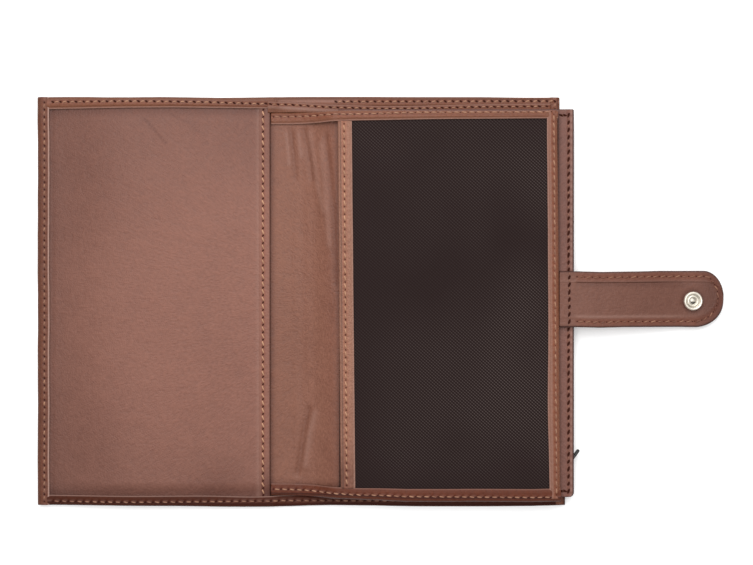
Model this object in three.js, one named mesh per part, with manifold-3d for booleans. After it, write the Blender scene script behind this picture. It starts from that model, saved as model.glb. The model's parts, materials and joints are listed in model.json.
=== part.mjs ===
// Leather document case lying open: X runs from the front half to the strap's tip, Y up the page, Z up.
// Millimetres. Places along X are counted from the cover's left edge until the finished case is centred.
import * as THREE from 'three';
import { mergeVertices } from 'three/addons/utils/BufferGeometryUtils.js';
import Module from 'manifold-3d';

const wasm = await Module();
wasm.setup();

// Leather, cloth and the clearance between two pieces that lie on each other
const leather = 1.0;
const thinLeather = 0.7;
const clothThickness = 0.8;
const tapeThickness = 0.6;
const gap = 0.3;

// Outer cover, open flat
const coverHeight = 219.5;
const frontWidth = 133.2;
const spineWidth = 20;
const backWidth = 128.6;
const coverLean = 3.0;          // how much further right the back half's lower corner lies than its upper
const sideHem = 6.2;
const topHem = 6.0;
const bottomHem = 4.5;

// Slip pocket on the front half
const pocketFromSpine = 8.8;    // from the spine back to the pocket's free edge
const pocketRise = 34;          // width over which the pocket lifts off the cover, from the hem inwards
const liningTuck = 6.0;         // how far the lining goes in under the pocket's free edge
const tongueInset = 5.0;        // how much narrower the tucked end of the lining is at top and bottom

// Page on the back half, and the mesh pocket in it
const pageFromTop = 8.75;       // from the cover's edges in to the page's
const pageFromFoot = 5.55;
const pageFromSide = 3.35;
const pageLean = 1.5;
const pageHem = 5.5;
const pageSideHem = 6.0;
const meshPocketDepth = 1.6;
const bindingWidth = 7.8;
const bindingInset = 0.6;
const creaseWidth = 26;         // width over which the lining climbs from the spine to the page
const creaseStart = 2.0;        // from the front half's edge to the first fold

// Layers under the page
const dividerFromFoot = 5.25;
const pouchFromTop = 7.7;
const pouchFromFoot = 5.9;
const pouchDepth = 3.1;
const gussetLeg = 6.0;
const gussetLeather = 0.8;
const tabReach = 5.1;           // the pouch panel stands out this far beyond the cover
const tabCornerRadius = 3.0;

// Zip of the pouch, set back under the pouch panel's edge
const zipSetback = 8.1;
const tapeWidth = 6.0;
const tapeOnDivider = 2.4;      // width of the lower tape that lies on the divider
const coilThickness = 1.2;
const sliderLength = 9.0;
const sliderFromFoot = 10.8;    // from the pouch's foot up to the slider
const sliderWall = 0.7;
const hingePinRadius = 0.45;
const hingeClearance = 0.3;
const eyeWall = 0.85;
const pullLength = 11.5;
const pullThickness = 1.6;
const pullHeight = 3.0;
const pullAngle = 54;           // degrees from +X, as it lies

// Strap and snap
const strapWidth = 30;
const strapRise = 1.2;          // the strap's middle above the cover's middle
const strapReach = 80.9;        // from the pouch panel's edge to the strap's tip
const strapHem = 6.0;
const strapTipLength = 10.5;    // the end is half an oval, cut off where it is strapTipFlat wide each way
const strapTipFlat = 1.5;
const snapFromTip = 16.6;
const snapRise = 0.2;
const snapRadius = 5.1;
const snapHeight = 1.7;
const capThickness = 1.6;
const postRadius = 1.5;
const studKnobRadius = 2.0;
const studKnobHeight = 2.1;
const studFlange = 0.8;
const wrapAllowance = 17.5;     // strap length taken up by going round the closed case's edge

// Heights of the layers, from the table up
const innerFace = leather + gap;
const dividerBottom = innerFace + leather + gap;
const gussetBottom = dividerBottom + leather + gap;
const pouchPanelBottom = gussetBottom + pouchDepth + gap;
const pageBottom = pouchPanelBottom + leather + gap;
const meshBottom = pageBottom + leather + meshPocketDepth;
const pageFlapBottom = meshBottom + clothThickness + gap;
const pocketOpening = leather + 2 * gap;
const archHeight = studKnobHeight + studFlange + gap;
const snapSeat = capThickness + gap;

// Places along X
const coverWidth = frontWidth + spineWidth + backWidth;
const pocketWidth = frontWidth - pocketFromSpine;
const creaseLeft = frontWidth + creaseStart;
const creaseRight = creaseLeft + creaseWidth;
const pageRight = coverWidth - pageFromSide;
const pouchLeft = creaseRight;
const tabRight = coverWidth + tabReach;
const zipFace = tabRight - zipSetback;
const dividerRight = zipFace - tapeWidth + tapeOnDivider;
const strapRoot = pageRight + gap;
const strapTip = tabRight + strapReach;
const snapX = strapTip - snapFromTip;
const studX = snapX - coverWidth - wrapAllowance;
const closureHoleRadius = postRadius + gap;

// Heights across Y
const coverTop = coverHeight / 2;
const pageTop = coverTop - pageFromTop;
const pageFoot = -coverTop + pageFromFoot;
const pouchTop = coverTop - pouchFromTop;
const pouchFoot = -coverTop + pouchFromFoot;
const pouchMiddle = (pouchTop + pouchFoot) / 2;
const sliderY = pouchFoot + sliderFromFoot + sliderLength / 2;

// Folds of the lining where it climbs from the spine to the page: shares of the crease's width and climb
const liningFolds = [
  { across: 0.0, climb: 0.0 },
  { across: 0.14, climb: 0.11 },
  { across: 0.25, climb: 0.07 },
  { across: 0.4, climb: 0.3 },
  { across: 0.48, climb: 0.27 },
  { across: 0.6, climb: 0.48 },
  { across: 0.72, climb: 0.74 },
  { across: 0.8, climb: 0.78 },
  { across: 0.9, climb: 1.0 },
  { across: 1.0, climb: 1.0 },
];

// Fall of the strap from the pouch panel's edge to its tip: shares of its reach and of the whole drop
const strapFall = [
  { along: 0.0, fall: 0.0 },
  { along: 0.12, fall: 0.03 },
  { along: 0.3, fall: 0.22 },
  { along: 0.5, fall: 0.55 },
  { along: 0.62, fall: 0.82 },
  { along: 0.72, fall: 1.0 },
  { along: 1.0, fall: 1.0 },
];

// Step back of the divider's top edge from the cover's: shares of its reach and of the top hem
const dividerEdge = [
  { along: 0.0, step: 0.4 },
  { along: 0.15, step: 0.6 },
  { along: 0.43, step: 0.77 },
  { along: 0.61, step: 0.65 },
  { along: 0.85, step: 0.53 },
  { along: 1.0, step: 0.5 },
];

const colours = {
  cover: 0x875d4f,
  pocket: 0x946b61,
  page: 0x8f6759,
  binding: 0xad816f,
  divider: 0x84594a,
  pouch: 0x82604f,
  strap: 0x79564c,
  strapFacing: 0x7c5b50,
  mesh: 0x352a2a,
  zipTape: 0x2c2422,
  black: 0x161515,
  nickel: 0xb5a998,
};

function clamp(value, low, high) {
  return Math.min(high, Math.max(low, value));
}

function smooth(share) {
  const s = clamp(share, 0, 1);
  return s * s * (3 - 2 * s);
}

// Value of one column of a table at a place given in another column, straight between the rows
function readTable(table, placeColumn, valueColumn, place) {
  const next = table.findIndex((row) => row[placeColumn] >= place);
  if (next === 0) return table[0][valueColumn];
  if (next < 0) return table[table.length - 1][valueColumn];
  const before = table[next - 1];
  const after = table[next];
  const share = (place - before[placeColumn]) / (after[placeColumn] - before[placeColumn]);
  return before[valueColumn] + share * (after[valueColumn] - before[valueColumn]);
}

// Evenly spaced places from one end to the other, both ends included
function spaced(from, to, steps) {
  return Array.from({ length: steps + 1 }, (_, i) => from + ((to - from) * i) / steps);
}

// The front half arches between its left edge and the spine, because it lies on the stud at its crest
function arch(x) {
  if (x <= 0 || x >= frontWidth) return 0;
  const turn = x < studX ? (studX - x) / studX : (x - studX) / (frontWidth - studX);
  return archHeight * 0.5 * (1 + Math.cos(Math.PI * turn));
}

// How far the lining has climbed from the spine towards the page, from 0 to 1
function climb(x) {
  return readTable(liningFolds, 'across', 'climb', (x - creaseLeft) / creaseWidth);
}

function leanOfPage(x, y) {
  return (-pageLean * y * clamp((x - creaseLeft) / creaseWidth, 0, 1)) / (pageTop - pageFoot);
}

// A closed body made of the cells of a bent grid: filled(i, j, k) says which cells hold material and
// place(x, y, level) gives a grid corner's true place
function cellBody(xs, ys, layers, filled, place) {
  const positions = [];
  const triangles = [];
  const known = new Map();
  const inside = (i, j, k) => {
    if (i < 0 || j < 0 || k < 0) return false;
    if (i >= xs.length - 1 || j >= ys.length - 1 || k >= layers) return false;
    return filled(i, j, k);
  };
  const corner = (i, j, k) => {
    const key = `${i} ${j} ${k}`;
    if (!known.has(key)) {
      known.set(key, positions.length / 3);
      positions.push(...place(xs[i], ys[j], k));
    }
    return known.get(key);
  };
  const face = (i, j, k, corners) => {
    const [a, b, c, d] = corners.map(([di, dj, dk]) => corner(i + di, j + dj, k + dk));
    triangles.push(a, b, c, a, c, d);
  };
  const sides = [
    { step: [0, 0, 1], corners: [[0, 0, 1], [1, 0, 1], [1, 1, 1], [0, 1, 1]] },
    { step: [0, 0, -1], corners: [[0, 0, 0], [0, 1, 0], [1, 1, 0], [1, 0, 0]] },
    { step: [1, 0, 0], corners: [[1, 0, 0], [1, 1, 0], [1, 1, 1], [1, 0, 1]] },
    { step: [-1, 0, 0], corners: [[0, 0, 0], [0, 0, 1], [0, 1, 1], [0, 1, 0]] },
    { step: [0, 1, 0], corners: [[0, 1, 0], [0, 1, 1], [1, 1, 1], [1, 1, 0]] },
    { step: [0, -1, 0], corners: [[0, 0, 0], [1, 0, 0], [1, 0, 1], [0, 0, 1]] },
  ];
  for (let i = 0; i < xs.length - 1; i += 1) {
    for (let j = 0; j < ys.length - 1; j += 1) {
      for (let k = 0; k < layers; k += 1) {
        if (!inside(i, j, k)) continue;
        for (const { step, corners } of sides) {
          if (!inside(i + step[0], j + step[1], k + step[2])) face(i, j, k, corners);
        }
      }
    }
  }
  const geometry = new THREE.BufferGeometry();
  geometry.setAttribute('position', new THREE.Float32BufferAttribute(positions, 3));
  geometry.setIndex(triangles);
  return geometry;
}

// A plain box between two corners
function block(low, high) {
  const geometry = new THREE.BoxGeometry(high[0] - low[0], high[1] - low[1], high[2] - low[2]);
  geometry.translate((low[0] + high[0]) / 2, (low[1] + high[1]) / 2, (low[2] + high[2]) / 2);
  return geometry;
}

// A round body turned about a vertical axis at x, y, from pairs of radius and height
function turned(profile, x, y, sides) {
  const geometry = new THREE.LatheGeometry(profile.map(([r, z]) => new THREE.Vector2(r, z)), sides);
  geometry.rotateX(Math.PI / 2);
  geometry.translate(x, y, 0);
  return geometry;
}

function post(x, y, radius, bottom, top, sides) {
  return turned([[0, bottom], [radius, bottom], [radius, top], [0, top]], x, y, sides);
}

function toSolid(geometry) {
  const bare = geometry.clone();
  bare.deleteAttribute('normal');
  bare.deleteAttribute('uv');
  const merged = mergeVertices(bare, 1e-4);
  return new wasm.Manifold(new wasm.Mesh({
    numProp: 3,
    vertProperties: Float32Array.from(merged.attributes.position.array),
    triVerts: Uint32Array.from(merged.index.array),
  }));
}

function toGeometry(solid) {
  const mesh = solid.getMesh();
  const geometry = new THREE.BufferGeometry();
  geometry.setAttribute('position', new THREE.BufferAttribute(Float32Array.from(mesh.vertProperties), 3));
  geometry.setIndex(new THREE.BufferAttribute(Uint32Array.from(mesh.triVerts), 1));
  return geometry;
}

function join(...geometries) {
  return toGeometry(geometries.map(toSolid).reduce((whole, next) => whole.add(next)));
}

function cut(geometry, tool) {
  return toGeometry(toSolid(geometry).subtract(toSolid(tool)));
}

const documentCase = new THREE.Group();

function addPiece(name, geometry, colour, roughness, metalness = 0, parent = documentCase) {
  geometry.computeVertexNormals();
  const material = new THREE.MeshStandardMaterial({ color: colour, roughness, metalness, flatShading: true });
  const mesh = new THREE.Mesh(geometry, material);
  mesh.name = name;
  parent.add(mesh);
  return mesh;
}

// The cover's groove is deep enough for the pocket's edge on the front half and closed on the back half
function grooveDepth(x) {
  const closed = frontWidth - creaseStart;
  const closing = smooth((x - pocketWidth - gap) / (closed - pocketWidth - gap));
  return pocketOpening + (gap - pocketOpening) * closing;
}

function outerCover() {
  const xs = [
    0,
    leather,
    ...spaced(sideHem, pocketWidth + gap, 15),
    ...spaced(frontWidth - creaseStart, frontWidth + spineWidth, 3),
    coverWidth - sideHem,
    coverWidth - leather,
    coverWidth,
  ];
  const ys = [
    -coverTop,
    -coverTop + leather,
    -coverTop + bottomHem,
    coverTop - topHem,
    coverTop - leather,
    coverTop,
  ];
  const lastX = xs.length - 2;
  const lastY = ys.length - 2;
  const filled = (i, j, k) => {
    if (k === 0) return true;
    if (k === 1) return i === 0 || i === lastX || j === 0 || j === lastY;
    return i <= 1 || i >= lastX - 1 || j <= 1 || j >= lastY - 1;
  };
  const place = (x, y, level) => {
    const lean = (-coverLean * y * clamp((x - creaseRight) / (coverWidth - creaseRight), 0, 1)) / coverHeight;
    const heights = [0, leather, leather + grooveDepth(x), 2 * leather + grooveDepth(x)];
    return [x + lean, y, arch(x) + heights[level]];
  };
  const cover = cellBody(xs, ys, 3, filled, place);
  return cut(cover, post(studX, snapRise, closureHoleRadius, -gap, archHeight + leather + gap, 16));
}

function frontPocket() {
  const xs = [leather + gap, ...spaced(sideHem, pocketWidth, 15)];
  const edge = coverTop - leather - gap;
  const flatTop = coverTop - topHem;
  const flatFoot = -coverTop + bottomHem;
  const ys = [
    -edge,
    flatFoot,
    flatFoot + tongueInset / 2,
    pageFoot + tongueInset,
    0,
    pageTop - tongueInset,
    flatTop - tongueInset / 2,
    flatTop,
    edge,
  ];
  const place = (x, y, level) => {
    const fromTop = (flatTop - y) / (flatTop - pageTop + tongueInset);
    const fromFoot = (y - flatFoot) / (pageFoot + tongueInset - flatFoot);
    const openAcross = Math.min(smooth(fromTop), smooth(fromFoot));
    const open = openAcross * smooth((x - sideHem) / pocketRise);
    const bottom = leather + gap + (pocketOpening - gap) * open;
    return [x, y, arch(x) + bottom + level * leather];
  };
  return cellBody(xs, ys, 1, () => true, place);
}

function innerPage() {
  const shoulder = pocketWidth + 2 * gap;
  const xs = [
    pocketWidth - liningTuck,
    shoulder,
    ...liningFolds.map(({ across }) => creaseLeft + across * creaseWidth),
    creaseRight + bindingInset + bindingWidth,
    pageRight - pageSideHem,
    pageRight - leather,
    pageRight,
  ];
  const ys = [
    pageFoot,
    pageFoot + leather,
    pageFoot + tongueInset,
    pageFoot + pageHem,
    pageTop - pageHem,
    pageTop - tongueInset,
    pageTop - leather,
    pageTop,
  ];
  const lastX = xs.length - 2;
  const lastY = ys.length - 2;
  const filled = (i, j, k) => {
    if (i === 0) return k === 0 && j >= 2 && j <= lastY - 2;
    if (k === 0) return true;
    if (k === 1) return i === lastX || j === 0 || j === lastY;
    return i >= lastX - 1 || j <= 2 || j >= lastY - 2;
  };
  const place = (x, y, level) => {
    const bottom = innerFace + arch(x) + (pageBottom - innerFace) * climb(x);
    const hemGap = gap + (pageFlapBottom - pageBottom - leather - gap) * climb(x);
    const heights = [0, leather, leather + hemGap, 2 * leather + hemGap];
    return [x + leanOfPage(x, y), y, bottom + heights[level]];
  };
  return cellBody(xs, ys, 3, filled, place);
}

function meshPanel() {
  const xs = [creaseRight + bindingInset + thinLeather + gap, pageRight - leather - gap];
  const ys = [pageFoot + leather + gap, pageTop - leather - gap];
  const place = (x, y, level) => [x + leanOfPage(x, y), y, meshBottom + level * clothThickness];
  return cellBody(xs, ys, 1, () => true, place);
}

// Strip folded over the mesh's free edge: two leaves joined by a wall on the spine side
function meshBinding() {
  const left = creaseRight + bindingInset;
  const xs = [left, left + thinLeather, left + bindingWidth];
  const ys = [pageFoot + pageHem + gap, pageTop - pageHem - gap];
  const lowerLeaf = meshBottom - gap - thinLeather;
  const heights = [lowerLeaf, meshBottom - gap, pageFlapBottom, pageFlapBottom + thinLeather];
  const place = (x, y, level) => [x + leanOfPage(x, y), y, heights[level]];
  return cellBody(xs, ys, 3, (i, j, k) => i === 0 || k !== 1, place);
}

// Full panel on the back half, with a narrow arm along the top that reaches over the spine
function divider() {
  const armStart = frontWidth + gap;
  const reach = dividerRight - armStart;
  const xs = dividerEdge.map(({ along }) => armStart + along * reach);
  const ys = [-coverTop + dividerFromFoot, pageTop + gap, coverTop - topHem / 2];
  const place = (x, y, level) => {
    const top = coverTop - topHem * readTable(dividerEdge, 'along', 'step', (x - armStart) / reach);
    return [x, y === ys[2] ? top : y, dividerBottom + level * leather];
  };
  return cellBody(xs, ys, 1, (i, j) => i >= 1 || j === 1, place);
}

// Folded strip round the pouch's top, spine side and foot; the zip closes its fourth side
function pouchGusset() {
  const inset = gap;
  const left = pouchLeft + inset;
  const xs = [left, left + gussetLeather, left + gussetLeg, dividerRight];
  const top = pouchTop - inset;
  const foot = pouchFoot + inset;
  const ys = [foot, foot + gussetLeather, foot + gussetLeg, top - gussetLeg, top - gussetLeather, top];
  const filled = (i, j, k) => {
    if (k === 1) return i === 0 || j === 0 || j === 4;
    return i <= 1 || j <= 1 || j >= 3;
  };
  const heights = [0, gussetLeather, pouchDepth - gussetLeather, pouchDepth];
  return cellBody(xs, ys, 3, filled, (x, y, level) => [x, y, gussetBottom + heights[level]]);
}

function pouchPanel() {
  const outline = new THREE.Shape();
  const r = tabCornerRadius;
  outline.moveTo(pouchLeft, pouchFoot);
  outline.lineTo(tabRight - r, pouchFoot);
  outline.absarc(tabRight - r, pouchFoot + r, r, -Math.PI / 2, 0, false);
  outline.lineTo(tabRight, pouchTop);
  outline.lineTo(pouchLeft, pouchTop);
  outline.closePath();
  const settings = { depth: leather, bevelEnabled: false, curveSegments: 5 };
  const geometry = new THREE.ExtrudeGeometry(outline, settings);
  geometry.translate(0, 0, pouchPanelBottom);
  return geometry;
}

// Zip: two bent tapes, the closed coil in front of them, the slider and its pull
const zipMiddle = gussetBottom + pouchDepth / 2;
const zipHalfLength = (pouchTop - pouchFoot) / 2 - gussetLeg - 2 * gap;
const coilX = zipFace + gap;
const sliderBack = coilX;
const sliderFront = coilX + coilThickness + gap + sliderWall;
const sliderTop = zipMiddle + pouchDepth / 2 - sliderWall / 2;
const sliderBottom = zipMiddle - pouchDepth / 2 + sliderWall / 2;
const eyeRadius = hingePinRadius + hingeClearance + eyeWall;
const hingeX = sliderFront + eyeRadius + hingeClearance;

function zipTape(upper) {
  const outer = upper ? gussetBottom + pouchDepth : gussetBottom;
  const inner = upper ? outer - tapeThickness : outer + tapeThickness;
  const edge = upper ? zipMiddle + gap / 2 : zipMiddle - gap / 2;
  const low = pouchMiddle - zipHalfLength;
  const high = pouchMiddle + zipHalfLength;
  const flat = block(
    [zipFace - tapeWidth, low, Math.min(outer, inner)],
    [zipFace, high, Math.max(outer, inner)],
  );
  const lip = block(
    [zipFace - tapeThickness, low, Math.min(outer, edge)],
    [zipFace, high, Math.max(outer, edge)],
  );
  return join(flat, lip);
}

function zipCoil() {
  const length = 2 * zipHalfLength;
  const geometry = new THREE.CylinderGeometry(coilThickness / 2, coilThickness / 2, length, 10);
  geometry.translate(coilX + coilThickness / 2, pouchMiddle, zipMiddle);
  return geometry;
}

// Channel that rides on the coil, with two ears that hold the pull's pin
function zipSlider() {
  const low = sliderY - sliderLength / 2;
  const high = sliderY + sliderLength / 2;
  const shell = block([sliderBack, low, sliderBottom], [sliderFront, high, sliderTop]);
  const channel = block(
    [sliderBack - gap, low - gap, sliderBottom + sliderWall / 2],
    [sliderFront - sliderWall, high + gap, sliderTop - sliderWall / 2],
  );
  const earHalf = hingePinRadius + hingeClearance;
  const overlap = sliderWall / 2;
  const ears = [
    block(
      [sliderFront - overlap, sliderY - earHalf, sliderTop - sliderWall],
      [hingeX + earHalf, sliderY + earHalf, sliderTop],
    ),
    block(
      [sliderFront - overlap, sliderY - earHalf, sliderBottom],
      [hingeX + earHalf, sliderY + earHalf, sliderBottom + sliderWall],
    ),
  ];
  const pin = post(hingeX, sliderY, hingePinRadius, sliderBottom + overlap, sliderTop - overlap, 12);
  return join(cut(shell, channel), ...ears, pin);
}

// Flat pull on edge: an eye round the slider's pin and a blade with a round end, drawn along +X from the pin
function zipPull() {
  const eyeBottom = sliderBottom + sliderWall + hingeClearance;
  const eyeTop = sliderTop - sliderWall - hingeClearance;
  const eye = post(0, 0, eyeRadius, eyeBottom, eyeTop, 16);
  const bladeStart = eyeRadius + hingeClearance;
  const half = pullThickness / 2;
  const neck = block([0, -half, eyeBottom], [bladeStart + half, half, eyeTop]);
  const blade = block(
    [bladeStart, -half, zipMiddle - pullHeight / 2],
    [pullLength - half, half, zipMiddle + pullHeight / 2],
  );
  const end = post(pullLength - half, 0, half, zipMiddle - pullHeight / 2, zipMiddle + pullHeight / 2, 12);
  const hole = post(0, 0, hingePinRadius + hingeClearance, eyeBottom - gap, eyeTop + gap, 12);
  return cut(join(eye, neck, blade, end), hole);
}

// Height of the strap's underside above the table
function strapUnderside(x) {
  const start = pageBottom;
  const fall = readTable(strapFall, 'along', 'fall', (x - tabRight) / strapReach);
  return start + (snapSeat - start) * fall;
}

// Half the strap's width: its end is a half oval
function strapHalfWidth(x) {
  const share = clamp((x - strapTip + strapTipLength) / strapTipLength, 0, 1);
  return strapTipFlat + (strapWidth / 2 - strapTipFlat) * Math.sqrt(1 - share * share);
}

function strapStations() {
  const straight = strapFall.map(({ along }) => tabRight + along * strapReach);
  const round = spaced(0, 1, 7).map((share) => {
    return strapTip - strapTipLength * (1 - Math.sin((share * Math.PI) / 2));
  });
  return [strapRoot, ...straight.filter((x) => x < round[0] - gap), ...round];
}

function strapLayer(ys, layers, filled, heights) {
  const place = (x, y, level) => {
    const share = strapHalfWidth(x) / (strapWidth / 2);
    return [x, strapRise + y * share, strapUnderside(x) + heights[level]];
  };
  const layer = cellBody(strapStations(), ys, layers, filled, place);
  const hole = post(snapX, snapRise, closureHoleRadius, 0, snapSeat + 3 * leather + 2 * gap, 16);
  return cut(layer, hole);
}

function strapOuter() {
  const half = strapWidth / 2;
  const ys = [-half, half - strapHem, half - leather, half];
  const filled = (i, j, k) => k === 0 || j === 2 || (k === 2 && j === 1);
  return strapLayer(ys, 3, filled, [0, leather, leather + gap, 2 * leather + gap]);
}

function strapFacing() {
  const half = strapWidth / 2;
  const ys = [-half, half - strapHem - gap];
  return strapLayer(ys, 1, () => true, [leather + gap, 2 * leather + gap]);
}

// Round socket with a rolled rim and a groove about its raised middle
function snapSocket() {
  const base = snapSeat + 2 * leather + 2 * gap;
  const profile = [
    [0, base],
    [snapRadius, base],
    [snapRadius, base + snapHeight * 0.6],
    [snapRadius * 0.9, base + snapHeight],
    [snapRadius * 0.78, base + snapHeight * 0.9],
    [snapRadius * 0.7, base + snapHeight * 0.4],
    [snapRadius * 0.58, base + snapHeight * 0.7],
    [snapRadius * 0.44, base + snapHeight * 0.7],
    [snapRadius * 0.36, base + snapHeight * 0.3],
    [0, base + snapHeight * 0.3],
  ];
  return turned(profile, snapX, snapRise, 24);
}

// Cap under the strap, with the post that goes up through the leather to the socket
function snapCap() {
  const postTop = snapSeat + 2 * leather + gap;
  const profile = [
    [0, 0],
    [snapRadius * 0.7, 0],
    [snapRadius, capThickness * 0.6],
    [snapRadius, capThickness],
    [postRadius, capThickness],
    [postRadius, postTop],
    [0, postTop],
  ];
  return turned(profile, snapX, snapRise, 20);
}

// Stud under the front half: knob, outer flange, post through the cover, inner flange under the pocket
function closureStud() {
  const outer = archHeight - gap;
  const inner = archHeight + leather + gap;
  const profile = [
    [0, 0],
    [studKnobRadius * 0.8, 0],
    [studKnobRadius, studKnobHeight * 0.4],
    [studKnobRadius * 0.8, studKnobHeight],
    [snapRadius, studKnobHeight],
    [snapRadius, outer],
    [postRadius, outer],
    [postRadius, inner],
    [snapRadius * 0.8, inner],
    [snapRadius * 0.8, inner + studFlange],
    [0, inner + studFlange],
  ];
  return turned(profile, studX, snapRise, 20);
}

addPiece('outer_cover', outerCover(), colours.cover, 0.55);
addPiece('front_pocket', frontPocket(), colours.pocket, 0.6);
addPiece('inner_page', innerPage(), colours.page, 0.6);
addPiece('mesh_panel', meshPanel(), colours.mesh, 0.9);
addPiece('mesh_binding', meshBinding(), colours.binding, 0.6);
addPiece('divider', divider(), colours.divider, 0.6);
addPiece('pouch_gusset', pouchGusset(), colours.divider, 0.6);
addPiece('pouch_panel', pouchPanel(), colours.pouch, 0.6);
addPiece('zip_tape_upper', zipTape(true), colours.zipTape, 0.9);
addPiece('zip_tape_lower', zipTape(false), colours.zipTape, 0.9);
addPiece('zip_coil', zipCoil(), colours.black, 0.5);
addPiece('zip_slider', zipSlider(), colours.black, 0.4, 0.5);
addPiece('strap_outer', strapOuter(), colours.strap, 0.55);
addPiece('strap_facing', strapFacing(), colours.strapFacing, 0.55);
addPiece('snap_socket', snapSocket(), colours.nickel, 0.3, 1);
addPiece('snap_cap', snapCap(), colours.nickel, 0.3, 1);
addPiece('closure_stud', closureStud(), colours.nickel, 0.3, 1);

const pullPivot = new THREE.Group();
pullPivot.position.set(hingeX, sliderY, 0);
pullPivot.rotation.z = THREE.MathUtils.degToRad(pullAngle);
documentCase.add(pullPivot);
addPiece('zip_pull', zipPull(), colours.black, 0.45, 0, pullPivot);

// The origin is under the middle of the case's outline
documentCase.position.x = -strapTip / 2;

export default documentCase;
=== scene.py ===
import math
import bpy
import numpy as np
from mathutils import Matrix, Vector
from mathutils.bvhtree import BVHTree
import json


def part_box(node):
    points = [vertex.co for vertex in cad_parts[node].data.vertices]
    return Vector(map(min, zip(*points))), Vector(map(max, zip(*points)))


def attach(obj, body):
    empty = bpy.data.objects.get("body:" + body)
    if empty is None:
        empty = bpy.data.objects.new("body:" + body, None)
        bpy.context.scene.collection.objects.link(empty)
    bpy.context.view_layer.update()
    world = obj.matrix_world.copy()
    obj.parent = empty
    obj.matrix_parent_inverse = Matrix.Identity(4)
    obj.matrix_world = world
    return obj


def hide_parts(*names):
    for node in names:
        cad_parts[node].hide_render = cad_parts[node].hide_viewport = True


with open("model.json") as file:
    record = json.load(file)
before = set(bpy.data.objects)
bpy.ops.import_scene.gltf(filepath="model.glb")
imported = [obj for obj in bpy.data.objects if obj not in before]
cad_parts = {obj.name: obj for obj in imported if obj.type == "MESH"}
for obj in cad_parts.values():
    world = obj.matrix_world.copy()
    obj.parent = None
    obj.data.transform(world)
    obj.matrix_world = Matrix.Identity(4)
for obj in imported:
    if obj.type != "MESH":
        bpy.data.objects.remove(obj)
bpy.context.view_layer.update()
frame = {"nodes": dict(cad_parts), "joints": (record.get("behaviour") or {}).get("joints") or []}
print("frame loaded")

# Everything below is worked out in millimetres and turned to metres when a mesh is made
mm = 0.001
tiny = 1e-6


def cornersOf(node):
    low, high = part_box(node)
    return [v / mm for v in low], [v / mm for v in high]


coverLow, coverHigh = cornersOf("outer_cover")
pocketLow, pocketHigh = cornersOf("front_pocket")
pageLow, pageHigh = cornersOf("inner_page")
meshLow, meshHigh = cornersOf("mesh_panel")
bindingLow, bindingHigh = cornersOf("mesh_binding")
dividerLow, dividerHigh = cornersOf("divider")
gussetLow, gussetHigh = cornersOf("pouch_gusset")
pouchLow, pouchHigh = cornersOf("pouch_panel")
strapLow, strapHigh = cornersOf("strap_outer")
socketLow, socketHigh = cornersOf("snap_socket")
capLow, capHigh = cornersOf("snap_cap")
studLow, studHigh = cornersOf("closure_stud")

# Sizes that all leather pieces share
case = {
    "leather": 1.0,
    "gap": 0.3,
    "frontWidth": 133.2,
    "coverLean": 3.0,
    "pageLean": 1.5,
    "creaseStart": 2.0,
    "creaseWidth": 26.0,
    "creaseClimb": [(0.0, 0.0), (0.14, 0.09), (0.25, 0.1), (0.4, 0.24), (0.48, 0.3), (0.6, 0.48),
                    (0.72, 0.7), (0.82, 0.86), (0.93, 0.99), (1.0, 1.0)],
}
left = coverLow[0]
leather = case["leather"]
gap = case["gap"]
frontEdge = left + case["frontWidth"]
creaseLeft = frontEdge + case["creaseStart"]
creaseRight = creaseLeft + case["creaseWidth"]
coverRight = coverHigh[0] - case["coverLean"] / 2
pageRight = pageHigh[0] - case["pageLean"] / 2
studX = (studLow[0] + studHigh[0]) / 2
studY = (studLow[1] + studHigh[1]) / 2
snapX = (socketLow[0] + socketHigh[0]) / 2
snapY = (socketLow[1] + socketHigh[1]) / 2
snapRadius = (socketHigh[0] - socketLow[0]) / 2
archHeight = coverHigh[2] - 2 * leather - (leather + 2 * gap)
pageBottom = pouchHigh[2] + gap
pageFlapTop = pageHigh[2]


# Shapes that several pieces follow

def smooth(share):
    s = np.clip(share, 0, 1)
    return s * s * (3 - 2 * s)


def bell(distance, width):
    # 1 at no distance, almost nothing at twice the width
    return np.exp(-(distance / width) ** 2)


def arch(x):
    rising = (studX - x) / (studX - left)
    falling = (x - studX) / (frontEdge - studX)
    turn = np.clip(np.where(x < studX, rising, falling), 0, 1)
    return archHeight * 0.5 * (1 + np.cos(math.pi * turn))


def valueAt(table, x):
    return np.interp(x, [place for place, value in table], [value for place, value in table])


def softened(table, share, fine, reach):
    # the table's line with its corners rounded over the given number of fine steps
    raw = valueAt(table, fine)
    width = 2 * reach + 1
    soft = np.convolve(np.pad(raw, reach, mode="edge"), np.ones(width) / width, mode="valid")
    return np.interp(share, fine, soft)


def climb(x):
    across = (x - creaseLeft) / case["creaseWidth"]
    return softened(case["creaseClimb"], across, np.linspace(0, 1, 53), 3)


def wave(x, y, size, seed):
    # gentle unevenness between -1 and 1, with bumps of about the given size
    rng = np.random.default_rng(seed)
    total = 0
    for turn in range(5):
        angle = rng.uniform(0, 2 * math.pi)
        length = size * rng.uniform(0.8, 1.9)
        shift = rng.uniform(0, 2 * math.pi)
        total = total + np.sin(2 * math.pi * (x * math.cos(angle) + y * math.sin(angle)) / length + shift)
    return total / 5


def stations(*marks):
    # marks are place, step, place, step, ..., place: evenly filled stretches between named places
    out = [marks[0]]
    for i in range(0, len(marks) - 2, 2):
        start, step, end = marks[i:i + 3]
        count = max(1, round((end - start) / step))
        out.extend(start + (end - start) * (k + 1) / count for k in range(count))
    return np.array(out)


# Mesh makers

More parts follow.
